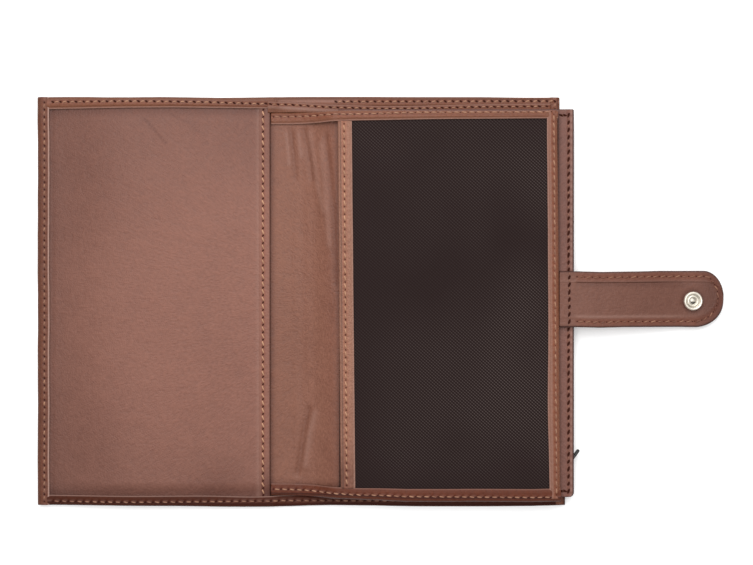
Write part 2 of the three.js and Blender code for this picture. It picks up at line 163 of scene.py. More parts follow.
def makeObject(name, vertices, faces, marks=None, material=None, sharp=False):
    mesh = bpy.data.meshes.new(name)
    mesh.from_pydata((np.asarray(vertices) * mm).tolist(), [], faces)
    mesh.validate()
    mesh.update()
    for key, values in (marks or {}).items():
        layer = mesh.attributes.new(key, "FLOAT", "POINT")
        layer.data.foreach_set("value", np.asarray(values, dtype=np.float32))
    if not sharp:
        mesh.polygons.foreach_set("use_smooth", [True] * len(mesh.polygons))
    thing = bpy.data.objects.new(name, mesh)
    bpy.context.scene.collection.objects.link(thing)
    if material:
        mesh.materials.append(material)
    return thing


def gridBody(name, xs, ys, place, marksAt, material, filled=None):
    # closed body of a bent grid, or of its filled cells; place(x, y, level) gives where a corner lies
    if filled is None:
        filled = np.ones((len(xs) - 1, len(ys) - 1, 1), bool)
    levels = filled.shape[2]
    nx, ny = len(xs), len(ys)
    gx, gy = np.meshgrid(xs, ys, indexing="ij")
    points = np.stack([np.stack(np.broadcast_arrays(*place(gx, gy, k)), -1) for k in range(levels + 1)], 2)
    solid = np.zeros((nx + 1, ny + 1, levels + 2), bool)
    solid[1:-1, 1:-1, 1:-1] = filled
    number = np.arange(nx * ny * (levels + 1)).reshape(nx, ny, levels + 1)
    corners = {
        (0, 0, 1): [(0, 0, 1), (1, 0, 1), (1, 1, 1), (0, 1, 1)],
        (0, 0, -1): [(0, 0, 0), (0, 1, 0), (1, 1, 0), (1, 0, 0)],
        (1, 0, 0): [(1, 0, 0), (1, 1, 0), (1, 1, 1), (1, 0, 1)],
        (-1, 0, 0): [(0, 0, 0), (0, 0, 1), (0, 1, 1), (0, 1, 0)],
        (0, 1, 0): [(0, 1, 0), (0, 1, 1), (1, 1, 1), (1, 1, 0)],
        (0, -1, 0): [(0, 0, 0), (1, 0, 0), (1, 0, 1), (0, 0, 1)],
    }
    quads = []
    core = solid[1:-1, 1:-1, 1:-1]
    for (di, dj, dk), ring in corners.items():
        beyond = solid[1 + di:nx + di, 1 + dj:ny + dj, 1 + dk:levels + 1 + dk]
        i, j, k = np.nonzero(core & ~beyond)
        quads.append(np.stack([number[i + a, j + b, k + c] for a, b, c in ring], 1))
    quads = np.concatenate(quads)
    used, faces = np.unique(quads, return_inverse=True)
    marks = {}
    if marksAt:
        layers = [marksAt(gx, gy, k) for k in range(levels + 1)]
        for key in layers[0]:
            full = np.stack([np.broadcast_to(layer[key], gx.shape) for layer in layers], 2)
            marks[key] = full.reshape(-1)[used]
    vertices = points.reshape(-1, 3)[used]
    return makeObject(name, vertices, faces.reshape(-1, 4).tolist(), marks, material)


def sweep(name, rings, marks=None, material=None, closed=False):
    # rings is (stations, points round the section, xyz); the ends are capped unless the sweep is closed
    rings = np.asarray(rings)
    n, m = rings.shape[:2]
    number = np.arange(n * m).reshape(n, m)
    first = number if closed else number[:-1]
    second = np.roll(number, -1, 0) if closed else number[1:]
    ring = [first, np.roll(first, -1, 1), np.roll(second, -1, 1), second]
    faces = np.stack([corner.reshape(-1) for corner in ring], 1).tolist()
    if not closed:
        faces.append(number[0][::-1].tolist())
        faces.append(number[-1].tolist())
    flat = {key: np.broadcast_to(v, (n, m)).reshape(-1) for key, v in (marks or {}).items()}
    return makeObject(name, rings.reshape(-1, 3), faces, flat, material)


def lathe(name, profile, x, y, sides, material):
    # profile is pairs of radius and height, from the axis out and back to the axis
    angles = np.arange(sides) * 2 * math.pi / sides
    vertices = []
    for radius, height in profile[1:-1]:
        across = x + radius * np.cos(angles)
        up = y + radius * np.sin(angles)
        vertices.append(np.stack([across, up, np.full(sides, height)], 1))
    vertices = np.concatenate(vertices + [[[x, y, profile[0][1]]], [[x, y, profile[-1][1]]]])
    rows = len(profile) - 2
    faces = []
    for k in range(sides):
        after = (k + 1) % sides
        for r in range(rows - 1):
            low = r * sides
            high = low + sides
            faces.append([low + k, low + after, high + after, high + k])
        faces.append([rows * sides, after, k])
        faces.append([rows * sides + 1, (rows - 1) * sides + k, (rows - 1) * sides + after])
    return makeObject(name, vertices, faces, None, material)


def scaled(shares, radius, base, height):
    return [(radius * r, base + height * z, rounding) for r, z, rounding in shares]


def roundedProfile(points, radius, steps=4):
    # rounds each corner of a profile that isn't marked sharp; points are radius, height, rounding share
    out = []
    for i, (r, z, share) in enumerate(points):
        if share == 0 or i in (0, len(points) - 1):
            out.append((r, z))
            continue
        here = Vector((r, z))
        before = Vector(points[i - 1][:2]) - here
        after = Vector(points[i + 1][:2]) - here
        reach = min(radius * share, before.length * 0.45, after.length * 0.45)
        start = here + before.normalized() * reach
        end = here + after.normalized() * reach
        for k in range(steps + 1):
            t = k / steps
            p = start * (1 - t) ** 2 + here * 2 * t * (1 - t) + end * t ** 2
            out.append((p.x, p.y))
    return out


# Shader maths: a Link is one output of a node, and expressions on Links add Math nodes

class Link:
    def __init__(self, finish, socket):
        self.finish = finish
        self.socket = socket

    def calc(self, operation, *values):
        return self.finish.add("Math", {"operation": operation}, *values)

    def __add__(self, other):
        return self.calc("ADD", self, other)

    def __radd__(self, other):
        return self.calc("ADD", other, self)

    def __sub__(self, other):
        return self.calc("SUBTRACT", self, other)

    def __rsub__(self, other):
        return self.calc("SUBTRACT", other, self)

    def __mul__(self, other):
        return self.calc("MULTIPLY", self, other)

    def __rmul__(self, other):
        return self.calc("MULTIPLY", other, self)

    def __truediv__(self, other):
        return self.calc("DIVIDE", self, other)


class Finish:
    # one material: its tree, its surface shader and short ways to add nodes
    def __init__(self, name):
        self.material = bpy.data.materials.new(name)
        self.material.use_nodes = True
        self.tree = self.material.node_tree
        self.surface = self.tree.nodes["Principled BSDF"]
        self.place = self.add("TexCoord", {}, out="Object")

    def add(self, kind, settings, *values, out=0, **named):
        node = self.tree.nodes.new("ShaderNode" + kind)
        for key, value in settings.items():
            if key == "stops":
                self.fillRamp(node.color_ramp, value)
            else:
                setattr(node, key, value)
        pairs = list(enumerate(values)) + [(k.replace("_", " "), v) for k, v in named.items()]
        for key, value in pairs:
            self.feed(node.inputs[key], value)
        return Link(self, node.outputs[out])

    def fillRamp(self, ramp, stops):
        while len(ramp.elements) < len(stops):
            ramp.elements.new(0.5)
        for element, (position, colour) in zip(ramp.elements, stops):
            element.position = position
            element.color = colour if len(colour) == 4 else (*colour, 1)

    def feed(self, socket, value):
        if isinstance(value, Link):
            self.tree.links.new(value.socket, socket)
        elif isinstance(value, (tuple, list)) and len(value) == 3 and socket.type == "RGBA":
            socket.default_value = (*value, 1)
        else:
            socket.default_value = value

    def set(self, **named):
        for key, value in named.items():
            self.feed(self.surface.inputs[key.replace("_", " ")], value)

    def noise(self, scale, detail=3, roughness=0.5, at=None):
        where = at or self.place
        return self.add("TexNoise", {}, Vector=where, Scale=scale, Detail=detail, Roughness=roughness)

    def range(self, value, low, high, toLow=0.0, toHigh=1.0, kind="LINEAR"):
        return self.add("MapRange", {"interpolation_type": kind}, value, low, high, toLow, toHigh)

    def vector(self, operation, *values, out=0):
        return self.add("VectorMath", {"operation": operation}, *values, out=out)

    def mix(self, amount, first, second, blend="MIX"):
        node = self.add("Mix", {"data_type": "RGBA", "blend_type": blend}, out=2)
        sockets = node.socket.node.inputs
        self.feed(sockets[0], amount)
        self.feed(sockets[6], first)
        self.feed(sockets[7], second)
        return node

    def mark(self, name):
        return self.add("Attribute", {"attribute_name": name}, out="Fac")

    def bump(self, height, strength, distance):
        normal = self.add("Bump", {}, Height=height, Strength=strength, Distance=distance)
        self.set(Normal=normal)


def srgb(red, green, blue):
    def one(value):
        value = value / 255
        return value / 12.92 if value <= 0.04045 else ((value + 0.055) / 1.055) ** 2.4
    return one(red), one(green), one(blue)


# Leather: waxed and smooth, cloudy in tone, with fine pores.
# Marks made with the mesh darken its seams and add painted shade in its folds, holes and edges, and painted
# highlights
leathers = {
    "cover": {"tone": (126, 86, 74), "cloud": 0.16},
    "hem": {"tone": (132, 89, 72), "cloud": 0.17},
    # foot and pageFoot: darker, less shiny copies of the leather for the bottom hems, painted shade
    "foot": {"tone": (83, 48, 38), "cloud": 0.2, "shine": 0.1},
    "pageFoot": {"tone": (110, 67, 54), "cloud": 0.18, "shine": 0.18},
    # pocket: a painted sheen round the middle point, falling off as painted shade to the far share
    "pocket": {"tone": (153, 109, 96), "cloud": 0.15, "middle": (-84, -10), "reach": (108, 140),
               "far": 0.67},
    "lining": {"tone": (147, 104, 89), "cloud": 0.16},
    "page": {"tone": (140, 94, 76), "cloud": 0.17},
    "binding": {"tone": (170, 126, 108), "cloud": 0.18, "grain": 1.6},
    "tab": {"tone": (137, 100, 91), "cloud": 0.16},
    "strap": {"tone": (133, 96, 85), "cloud": 0.15},
}
# What the lights give back: share of the tone, and haze from the sheen on top
daylight = {"gain": 1.38, "haze": 0.036, "shine": 0.3}


def shown(red, green, blue, shine=daylight["shine"]):
    # surface colour that comes out as this tone under the studio's lights
    haze = daylight["haze"] * shine / daylight["shine"]
    return tuple(max(0.003, (v - haze) / daylight["gain"]) for v in srgb(red, green, blue))


def leatherMaterial(name, tone, cloud, middle=None, reach=(1, 1), far=1.0, grain=1.0,
                    shine=daylight["shine"]):
    f = Finish(name)
    base = shown(*tone, shine)
    dark = tuple(v * (1 - cloud * k) for v, k in zip(base, (1.2, 1.5, 1.6)))
    light = tuple(v * (1 + cloud * k) for v, k in zip(base, (1, 1.15, 1.2)))
    clouds = f.noise(16, 4, 0.55)
    mottle = f.noise(150, 4, 0.6)
    fine = f.noise(620, 3, 0.65)
    speck = f.noise(1250, 2, 0.7)
    tone = f.range(clouds * 0.34 + mottle * 0.26 + fine * 0.5 + speck * 0.5, 0.62, 0.98)
    colour = f.mix(tone, dark, light)
    # painted sheen: lighter round the middle point, with painted shade towards the far tone further out
    if middle:
        offset = f.vector("SUBTRACT", f.place, (middle[0] * mm, middle[1] * mm, 0))
        scale = (1 / (reach[0] * mm), 1 / (reach[1] * mm), 0)
        away = f.vector("LENGTH", f.vector("MULTIPLY", offset, scale), out="Value")
        dimming = f.range(away, 0.25, 1.15, kind="SMOOTHSTEP")
        colour = f.mix(dimming, colour, (far, far * 0.98, far * 0.99), "MULTIPLY")
    # seams: redder and darker along them; on the lining by the spine this tint carries painted shade
    colour = f.mix(f.mark("seam") * 0.9, colour, (1.03, 0.8, 0.65), "MULTIPLY")
    # painted shade in folds, holes, grooves and under hems, together with real scratches
    colour = f.mix(f.mark("press"), colour, (0.38, 0.26, 0.22), "MULTIPLY")
    # painted highlights where ridges, bulges and turned edges catch the light
    colour = f.mix(f.mark("pale"), colour, shown(184, 148, 136, shine))
    # dark edge paint, made stronger on the bottom edges as painted shade
    colour = f.mix(f.mark("edge"), colour, shown(76, 58, 50))
    f.set(Base_Color=colour, Roughness=f.range(mottle * 0.5 + fine * 0.5, 0.3, 0.7, 0.42, 0.6))
    f.set(Specular_IOR_Level=shine)
    f.bump((fine * 0.7 + speck * 0.5) * grain + mottle * 0.8, 0.75, 0.0006)
    return f.material


paint = {key: leatherMaterial(key + "Leather", **value) for key, value in leathers.items()}


def threadMaterial():
    f = Finish("tanThread")
    strand = f.add("TexWave", {"wave_type": "BANDS", "bands_direction": "DIAGONAL"}, Vector=f.place,
                   Scale=900.0, Distortion=0.6)
    tone = f.range(f.noise(300, 3) * 0.4 + f.mark("tone") * 0.8, 0.1, 1.0)
    colour = f.mix(tone, shown(104, 62, 46), shown(216, 166, 134))
    f.set(Base_Color=colour, Roughness=0.62)
    f.bump(strand, 0.4, 0.0001)
    return f.material


def holeMaterial():
    # near-black lenses at the needle holes: painted shade inside the holes
    f = Finish("needleHole")
    tone = f.noise(500, 2)
    f.set(Base_Color=f.mix(tone, (0.018, 0.004, 0.002), (0.05, 0.015, 0.009)), Roughness=0.9)
    f.set(Specular_IOR_Level=0.05)
    return f.material


weave = {
    "pitch": 1.25,
    "angle": 42,
    "hollow": (0.0085, 0.0035, 0.0033),
    "thread": (0.0205, 0.0103, 0.0096),
    "shine": (0.3, 0.245, 0.22),
}


def meshMaterial():
    # two sets of threads cross on the diagonal; the gaps between them stay nearly black
    f = Finish("wovenMesh")
    turned = f.add("Mapping", {"vector_type": "POINT"}, f.place,
                   Rotation=(0, 0, math.radians(weave["angle"])))
    across = f.add("SeparateXYZ", {}, turned)
    upward = Link(f, across.socket.node.outputs[1])
    turn = 2 * math.pi / (weave["pitch"] * mm)
    first = across.calc("SINE", across * turn)
    second = upward.calc("SINE", upward * turn)
    threads = f.range(second * 0.68 + first * 0.32, -0.7, 0.8)
    sheen = f.noise(11, 2, 0.6)
    # painted highlights on the threads, strongest towards the lower right and in a spot near the top, fewer
    # towards the bottom as painted shade
    corner = f.range(f.vector("DOT_PRODUCT", f.place, (7.0, -2.0, 0), out="Value"), 0.0, 0.8)
    fromTop = f.vector("DISTANCE", f.place, (-0.004, 0.104, 0.007), out="Value")
    high = f.range(fromTop, 0.008, 0.04, 0.55, 0.0)
    foot = f.range(f.add("SeparateXYZ", {}, f.place, out=1), -0.102, -0.082, 0.3, 1.0)
    where = (corner * 0.75 + 0.2) * foot + high
    clear = f.range(sheen, 0.38, 0.64, 0.35, 1.0) * (corner * 0.68 + 0.12) + high * 0.4
    colour = f.mix((threads - 0.5) * clear + 0.5, weave["hollow"], weave["thread"])
    lit = f.range(threads, 0.6, 1.0) * f.range(sheen, 0.38, 0.64, 0.03, 0.26) * where
    colour = f.mix(lit, colour, weave["shine"])
    f.set(Base_Color=colour, Roughness=f.range(threads, 0, 1, 0.85, 0.6))
    f.set(Specular_IOR_Level=0.12)
    f.bump(threads, 0.3, 0.0001)
    return f.material


def nickelMaterial():
    # painted shade and dark reflections in the ring's grooves, and a painted shadow low in the hollow of its
    # middle
    f = Finish("warmNickel")
    rub = f.noise(400, 3)
    offset = f.vector("SUBTRACT", f.place, (snapX * mm, snapY * mm, 0))
    flat = f.vector("MULTIPLY", offset, (1, 1, 0))
    away = f.vector("LENGTH", flat, out="Value") / (snapRadius * mm)
    greys = [(0.0, 0.9), (0.17, 0.75), (0.25, 0.3), (0.33, 0.35), (0.4, 0.95), (0.55, 1), (0.62, 0.36),
             (0.67, 0.4), (0.74, 1), (1.0, 1)]
    rings = f.add("ValToRGB", {"stops": [(place, (grey,) * 3) for place, grey in greys]}, away)
    metal = f.mix(rub, (0.78, 0.71, 0.59), (0.93, 0.88, 0.78))
    colour = f.mix(0.9, metal, rings, "MULTIPLY")
    # painted shadow: a dark crescent on the lower side of the middle hollow
    upward = f.vector("DOT_PRODUCT", flat, (0, 1, 0), out="Value")
    low = f.range(upward, -0.9 * mm, 0.1 * mm, 1, 0) * f.range(away, 0.26, 0.32, 1, 0)
    f.set(Base_Color=f.mix(low, colour, (0.02, 0.02, 0.015)), Metallic=0.72)
    f.set(Roughness=f.range(rub, 0.3, 0.7, 0.3, 0.4))
    f.bump(rub, 0.04, 0.0001)
    return f.material


def blackMaterial(name, roughness, shine):
    f = Finish(name)
    speck = f.noise(900, 3)
    f.set(Base_Color=f.mix(speck, (0.006, 0.006, 0.006), (0.016, 0.015, 0.015)), Roughness=roughness)
    f.set(Specular_IOR_Level=shine)
    f.bump(speck, 0.2, 0.00008)
    return f.material


def tapeMaterial():
    f = Finish("zipTape")
    split = f.add("SeparateXYZ", {}, f.place, out=1)
    ribs = split.calc("SINE", split * (2 * math.pi / (0.8 * mm)))
    fine = f.noise(1600, 2)
    tone = f.range(ribs * 0.5 + fine, 0, 1.2)
    f.set(Base_Color=f.mix(tone, srgb(24, 20, 19), srgb(54, 46, 43)), Roughness=0.9)
    f.bump(tone, 0.5, 0.0002)
    return f.material


thread = threadMaterial()
needleHole = holeMaterial()
meshCloth = meshMaterial()
nickel = nickelMaterial()
pullBlack = blackMaterial("pullBlack", 0.42, 0.5)
zipBlack = blackMaterial("zipBlack", 0.3, 0.6)
zipTape = tapeMaterial()
print("materials made")


# Seams: a start and a pitch that divides the seam evenly, so that leather and thread agree on the holes
needle = {
    "beyond": 1,
    "sharpness": 2.5,
    "dent": 0.3,
    "dentWidth": 0.75,
    "betweenHoles": 0.3,
    "holeWidth": 0.6,
}


def seamFrom(start, end, pitch, slant=0.0):
    # slant leans the needle holes over as they go away from the seam's line
    count = max(1, round((end - start) / pitch))
    return {"start": start, "end": end, "pitch": (end - start) / count, "slant": slant}


def holesAlong(seam, s, aside):
    # 1 at a needle hole, 0 between two, along the seam and a little beyond its ends
    inside = (s > seam["start"] - needle["beyond"]) & (s < seam["end"] + needle["beyond"])
    turn = 2 * math.pi * (s - seam["start"] + seam["slant"] * aside) / seam["pitch"]
    return (0.5 + 0.5 * np.cos(turn)) ** needle["sharpness"] * inside


def pucker(seam, s, aside, depth=needle["dent"]):
    # how deep the thread pulls the leather in, most at the holes
    between = needle["betweenHoles"]
    return depth * bell(aside, needle["dentWidth"]) * (between + (1 - between) * holesAlong(seam, s, aside))


def holeMarks(seam, s, aside, strength, width=needle["holeWidth"]):
    return strength * holesAlong(seam, s, aside) * bell(aside, width)


# Hems: leather turned over an edge, swept as one C-shaped strip along that edge
hemming = {
    "under": 0.7,           # how far the strip goes under the panel, as a share of its width
    "clear": 0.06,
    "softEdge": 0.45,
    "swell": 0.12,
    "rough": 0.06,
    "skiveReach": 1.3,
    "lineWidth": 0.34,
    "rimWidth": 0.42,
    "ridgeWidth": 0.7,
    "holeWidth": 0.62,
    "glowWidth": 1.4,
}


def hemStrip(name, places, width, between, toWorld, inset, seam, material, style):
    # between: space held in the fold; inset: how far in the seam runs; all may change along the edge
    s = np.asarray(places, float)
    thickness = style.get("thickness", leather)
    space = np.broadcast_to(between, s.shape)
    total = 2 * thickness + space
    outer = total / 2
    inner = space / 2
    columns = []
    marks = []

    def add(place, height, edge=0.0, glow=0.0, pale=0.0, press=0.0):
        columns.append((place + 0 * s, height + 0 * s))
        shade = style.get("shade", 0.0) * (1 - np.clip(1.2 * pale, 0, 1))
        marks.append((edge, glow, pale, np.clip(press + shade, 0, 1)))

    foot = width * hemming["under"]
    add(foot, hemming["clear"])
    add(outer, 0.0)
    for angle in range(20, 180, 20):
        a = math.radians(angle)
        # the outer fold darkens: dark edge paint, with painted shade where it turns from the light
        dark = max(0.0, math.sin(a)) ** 1.5 * style.get("edge", 0.8) * (1.0 if angle < 110 else 0.45)
        add(outer - outer * math.sin(a), outer - outer * math.cos(a), edge=dark)
    soft = hemming["softEdge"] * thickness
    top = total + style.get("lift", 0.0)
    skive = style.get("skive", 0.5) * thickness
    lineTone = style.get("line", 0.45)
    for share in np.linspace(0, 1, 17):
        d = outer + (width - soft - outer) * share
        aside = d - inset
        # needle holes darken the leather round them as painted shade
        holes = holeMarks(seam, s, aside, 1, hemming["holeWidth"])
        bulge = bell(aside - 0.25, 0.8) * (1 - holesAlong(seam, s, aside))
        rough = hemming["rough"] * wave(s, d * 3, 14, style["seed"])
        swell = hemming["swell"] * np.sin(math.pi * share)
        swell = swell - skive * smooth(1 - (width - soft - d) / hemming["skiveReach"])
        # painted highlights: a catch-light along the inner edge, a lit ridge, the inner side and the bulges
        # between holes
        line = lineTone * bell(width - d - style.get("lineAt", 0.45), hemming["lineWidth"])
        ridge = style.get("ridge", 0.0) * bell(d - style.get("ridgeAt", 1.3), hemming["ridgeWidth"])
        inside = style.get("inner", 0.0) * smooth((aside - 1.0) / 1.2)
        # a darker band at the outer fold: edge paint and painted shade
        rim = style.get("rim", 0.55) * bell(d - outer, hemming["rimWidth"])
        pale = np.clip(np.maximum(line, 0.2 * bulge + inside) + ridge, 0, 1)
        add(d, top - pucker(seam, s, aside) + swell + rough, rim, bell(aside, hemming["glowWidth"]), pale,
            style.get("holeShade", 0.8) * holes)
    last = (thickness - skive) / 2
    for angle in (35, 70, 110, 145):
        a = math.radians(angle)
        add(width - soft + soft * math.sin(a), top - thickness + last + last * math.cos(a),
            pale=lineTone if angle < 80 else 0.0)
    add(width - soft, top - thickness)
    add(outer, top - thickness)
    for angle in range(150, 0, -40):
        a = math.radians(angle)
        add(outer - inner * math.sin(a), outer - inner * math.cos(a))
    add(outer, thickness - hemming["clear"])
    add(foot, thickness - hemming["clear"])
    across = np.stack([c[0] for c in columns], 1)
    height = np.stack([c[1] for c in columns], 1)
    x, y, z = toWorld(s[:, None] + 0 * across, across, height)
    rings = np.stack([x, y, z], -1)
    layers = {}
    for number, key in enumerate(("edge", "seam", "pale", "press")):
        layers[key] = np.stack([m[number] + 0 * s for m in marks], 1)
    return sweep(name, rings, layers, material)


def pick(pieces):
    bpy.ops.object.select_all(action="DESELECT")
    for piece in pieces:
        piece.select_set(True)
    bpy.context.view_layer.objects.active = pieces[0]


def setOutward(piece):
    pick([piece])
    bpy.ops.object.mode_set(mode="EDIT")
    bpy.ops.mesh.select_all(action="SELECT")
    bpy.ops.mesh.normals_make_consistent(inside=False)
    bpy.ops.object.mode_set(mode="OBJECT")
    return piece


def joinPieces(name, pieces):
    pick(pieces)
    bpy.ops.object.join()
    whole = pieces[0]
    whole.name = name
    whole.data.name = name
    return setOutward(whole)


# Outer cover: one skin with its edges turned in

cover = {
    "sideHem": 6.2,
    "topHem": 6.0,
    "footNarrow": 0.9,
    "bottomHem": 5.6,
    "leftWidth": 6.65,
    "topWidths": [(-184.0, 6.6), (-150.0, 6.4), (-110.0, 6.1), (-62.0, 6.2), (100.0, 5.2)],
    "topRises": [(-181, 0.16), (-169, 0.16), (-157, -0.05), (-146, -0.38), (-134, -0.45), (-116, -0.27),
                 (-98, -0.38), (-86, -0.45), (-74, -0.2), (-62, 0.05), (-50, 0.32), (-39, 0.38), (-3, 0.4),
                 (9, 0.3), (56, 0.27), (68, 0.1), (80, -0.05), (92, 0.0)],
    "footDrops": [(-181, 0.0), (-146, -0.15), (-122, 0.0), (-110, 0.1), (-98, 0.38), (-86, 0.75),
                  (-74, 0.95), (-62, 1.0), (-50, 0.9), (-39, 0.5), (-27, 0.27), (-3, 0.5), (9, 0.8),
                  (21, 0.95), (56, 0.95), (68, 0.85), (80, 0.75), (92, 0.43), (100, 0.05)],
    "topInsets": [(-184.0, 2.7), (-98.0, 3.0), (-64.0, 3.8), (-40.0, 2.4), (100.0, 2.1)],
    "bottomInset": 2.3,
    "leftInset": 4.1,
    "rightInset": 2.75,
    "leftShift": -0.62,
    "footShift": 0.2,
    "topSplit": -55.0,
    "panelInset": 1.4,
    "hemPitch": 4.2,
    "sidePitch": 3.93,
}
coverTop = coverHigh[1]
coverFoot = coverLow[1]


def leanOfCover(x, y):
    share = np.clip((x - creaseRight) / (coverRight - creaseRight), 0, 1)
    return -case["coverLean"] * y * share / (coverTop - coverFoot)


def grooveDepth(x):
    closing = smooth((x - pocketHigh[0] - gap) / (frontEdge - case["creaseStart"] - pocketHigh[0] - gap))
    return leather + 2 * gap - (leather + gap) * closing


def edgeWobble(s, seed):
    return 0.22 * wave(s, 0 * s, 46, seed) + 0.1 * wave(s, 0 * s, 17, seed + 50)


coverSeams = {
    "top": seamFrom(left + 8.0, -61.5, cover["hemPitch"], 0.55),
    "topRight": seamFrom(-24.0, coverRight - cover["rightInset"], cover["hemPitch"], 0.55),
    "foot": seamFrom(left + 8.0, coverRight - cover["rightInset"], cover["hemPitch"], -0.5),
    "left": seamFrom(coverFoot + cover["bottomInset"], coverTop - 3.0, cover["sidePitch"], 0.4),
    "right": seamFrom(coverFoot + cover["bottomInset"], coverTop - 2.4, cover["sidePitch"]),
}


def makeCover():
    inset = cover["panelInset"]
    xs = stations(left + inset, 3.0, frontEdge, 2.5, coverRight - inset)
    ys = stations(coverFoot + inset, 6.0, coverTop - inset)

    def place(x, y, level):
        return x + leanOfCover(x, y), y, arch(x) + (0.02 + 0.96 * level) * leather

    panel = gridBody("coverPanel", xs, ys, place, None, paint["cover"])
    step = cover["hemPitch"] / 8
    split = cover["topSplit"]
    alongLeft = stations(left + 1.3, step, split)
    alongRight = stations(split - 2, step, coverRight - 0.2)
    alongX = stations(left + 1.3, step, coverRight - 0.2)
    alongY = stations(coverFoot + 0.45, step, coverTop - 0.1)

    def topEdge(s, d, h):
        top = coverTop + valueAt(cover["topRises"], s)
        return s + leanOfCover(s, coverTop), top - d, arch(s) + h

    def footEdge(s, d, h):
        foot = coverFoot + cover["footShift"] - valueAt(cover["footDrops"], s)
        return s + leanOfCover(s, coverFoot), foot + d, arch(s) + h

    def leftEdge(s, d, h):
        return left + cover["leftShift"] + d + edgeWobble(s, 5), s, arch(left + d) + h

    def rightEdge(s, d, h):
        return coverRight - d + leanOfCover(coverRight, s) + edgeWobble(s, 6) * 0.5, s, h

    def topHem(name, places, seam, style):
        rise = valueAt(cover["topRises"], places)
        width = valueAt(cover["topWidths"], places) + rise
        inset = valueAt(cover["topInsets"], places) + rise
        return hemStrip(name, places, width, grooveDepth(places), topEdge, inset, seam, paint["hem"],
                        {"seed": 1, "edge": 0.7, **style})

    drop = valueAt(cover["footDrops"], alongX)
    sheen = 0.32 * smooth((-8 - alongRight) / 14)
    narrow = cover["footNarrow"] * bell(alongX + 68, 18)
    hems = [
        topHem("hemTopLeft", alongLeft, coverSeams["top"], {"ridge": 0.3, "rim": 0.2}),
        topHem("hemTopRight", alongRight, coverSeams["topRight"],
               {"ridge": sheen, "ridgeAt": 2.3, "rim": 0.4}),
        # bottom hem: the darker foot leather and stronger dark edges are painted shade
        hemStrip("hemFoot", alongX, cover["bottomHem"] + drop - narrow, grooveDepth(alongX), footEdge,
                 cover["bottomInset"] + drop, coverSeams["foot"], paint["foot"],
                 {"seed": 2, "edge": 1.0, "rim": 0.9, "line": 0.55, "lineAt": 0.15}),
        hemStrip("hemLeft", alongY, cover["leftWidth"] + 0 * alongY, grooveDepth(left), leftEdge,
                 cover["leftInset"], coverSeams["left"], paint["hem"],
                 {"seed": 3, "lift": 0.18, "shade": 0.36, "line": 0.95, "rim": 0.3}),
        hemStrip("hemRight", alongY, cover["sideHem"] + 0 * alongY, gap, rightEdge, cover["rightInset"],
                 coverSeams["right"], paint["hem"], {"seed": 4, "lift": 0.18, "line": 0.2}),
    ]
    return panel, joinPieces("coverHem", hems)


coverPanel, coverHem = makeCover()
print("cover made")


# Slip pocket on the front half

pocket = {
    "rise": 34.0,
    "foldRoll": 0.25,
    "seamInset": 3.55,
    "seamPitch": 3.96,
    "pressed": 2.6,
    "edgeShift": 0.35,
    "scratches": [
        ([(-126.8, 97.9), (-121.0, 92.0), (-114.4, 84.4)], 0.42),
        ([(-112.2, 100.0), (-104.0, 96.0), (-96.5, 89.8)], 0.26),
    ],
    "scratchWidth": 0.55,
    # a soft darker patch low on the pocket
    "darkPatch": {"x": -86, "y": -96, "wide": 12, "high": 14, "depth": 0.28},
    "hemShade": {"top": 0.5, "foot": 0.58, "reach": 4.2},
    # painted shade low beside the pocket's free edge
    "footCornerShade": 0.42,
}
pocketRight = pocketHigh[0]
pocketSeam = seamFrom(coverFoot + 5.5, coverTop - 6.8, pocket["seamPitch"], 0.5)


def nearLine(x, y, points, width):
    # 1 on a line through the points, falling to 0 at about its width
    best = np.full(np.shape(x), 1e9)
    for (ax, ay), (bx, by) in zip(points, points[1:]):
        dx, dy = bx - ax, by - ay
        t = np.clip(((x - ax) * dx + (y - ay) * dy) / (dx * dx + dy * dy), 0, 1)
        best = np.minimum(best, np.hypot(x - ax - t * dx, y - ay - t * dy))
    return bell(best, width)


def pocketLift(x, y):
    flatTop = coverTop - cover["topHem"]
    flatFoot = coverFoot + cover["bottomHem"]
    fromEdge = np.minimum(flatTop - y, y - flatFoot)
    open = smooth(fromEdge / 7.5) * smooth((x - left - cover["sideHem"]) / pocket["rise"])
    return gap + (leather + gap) * open


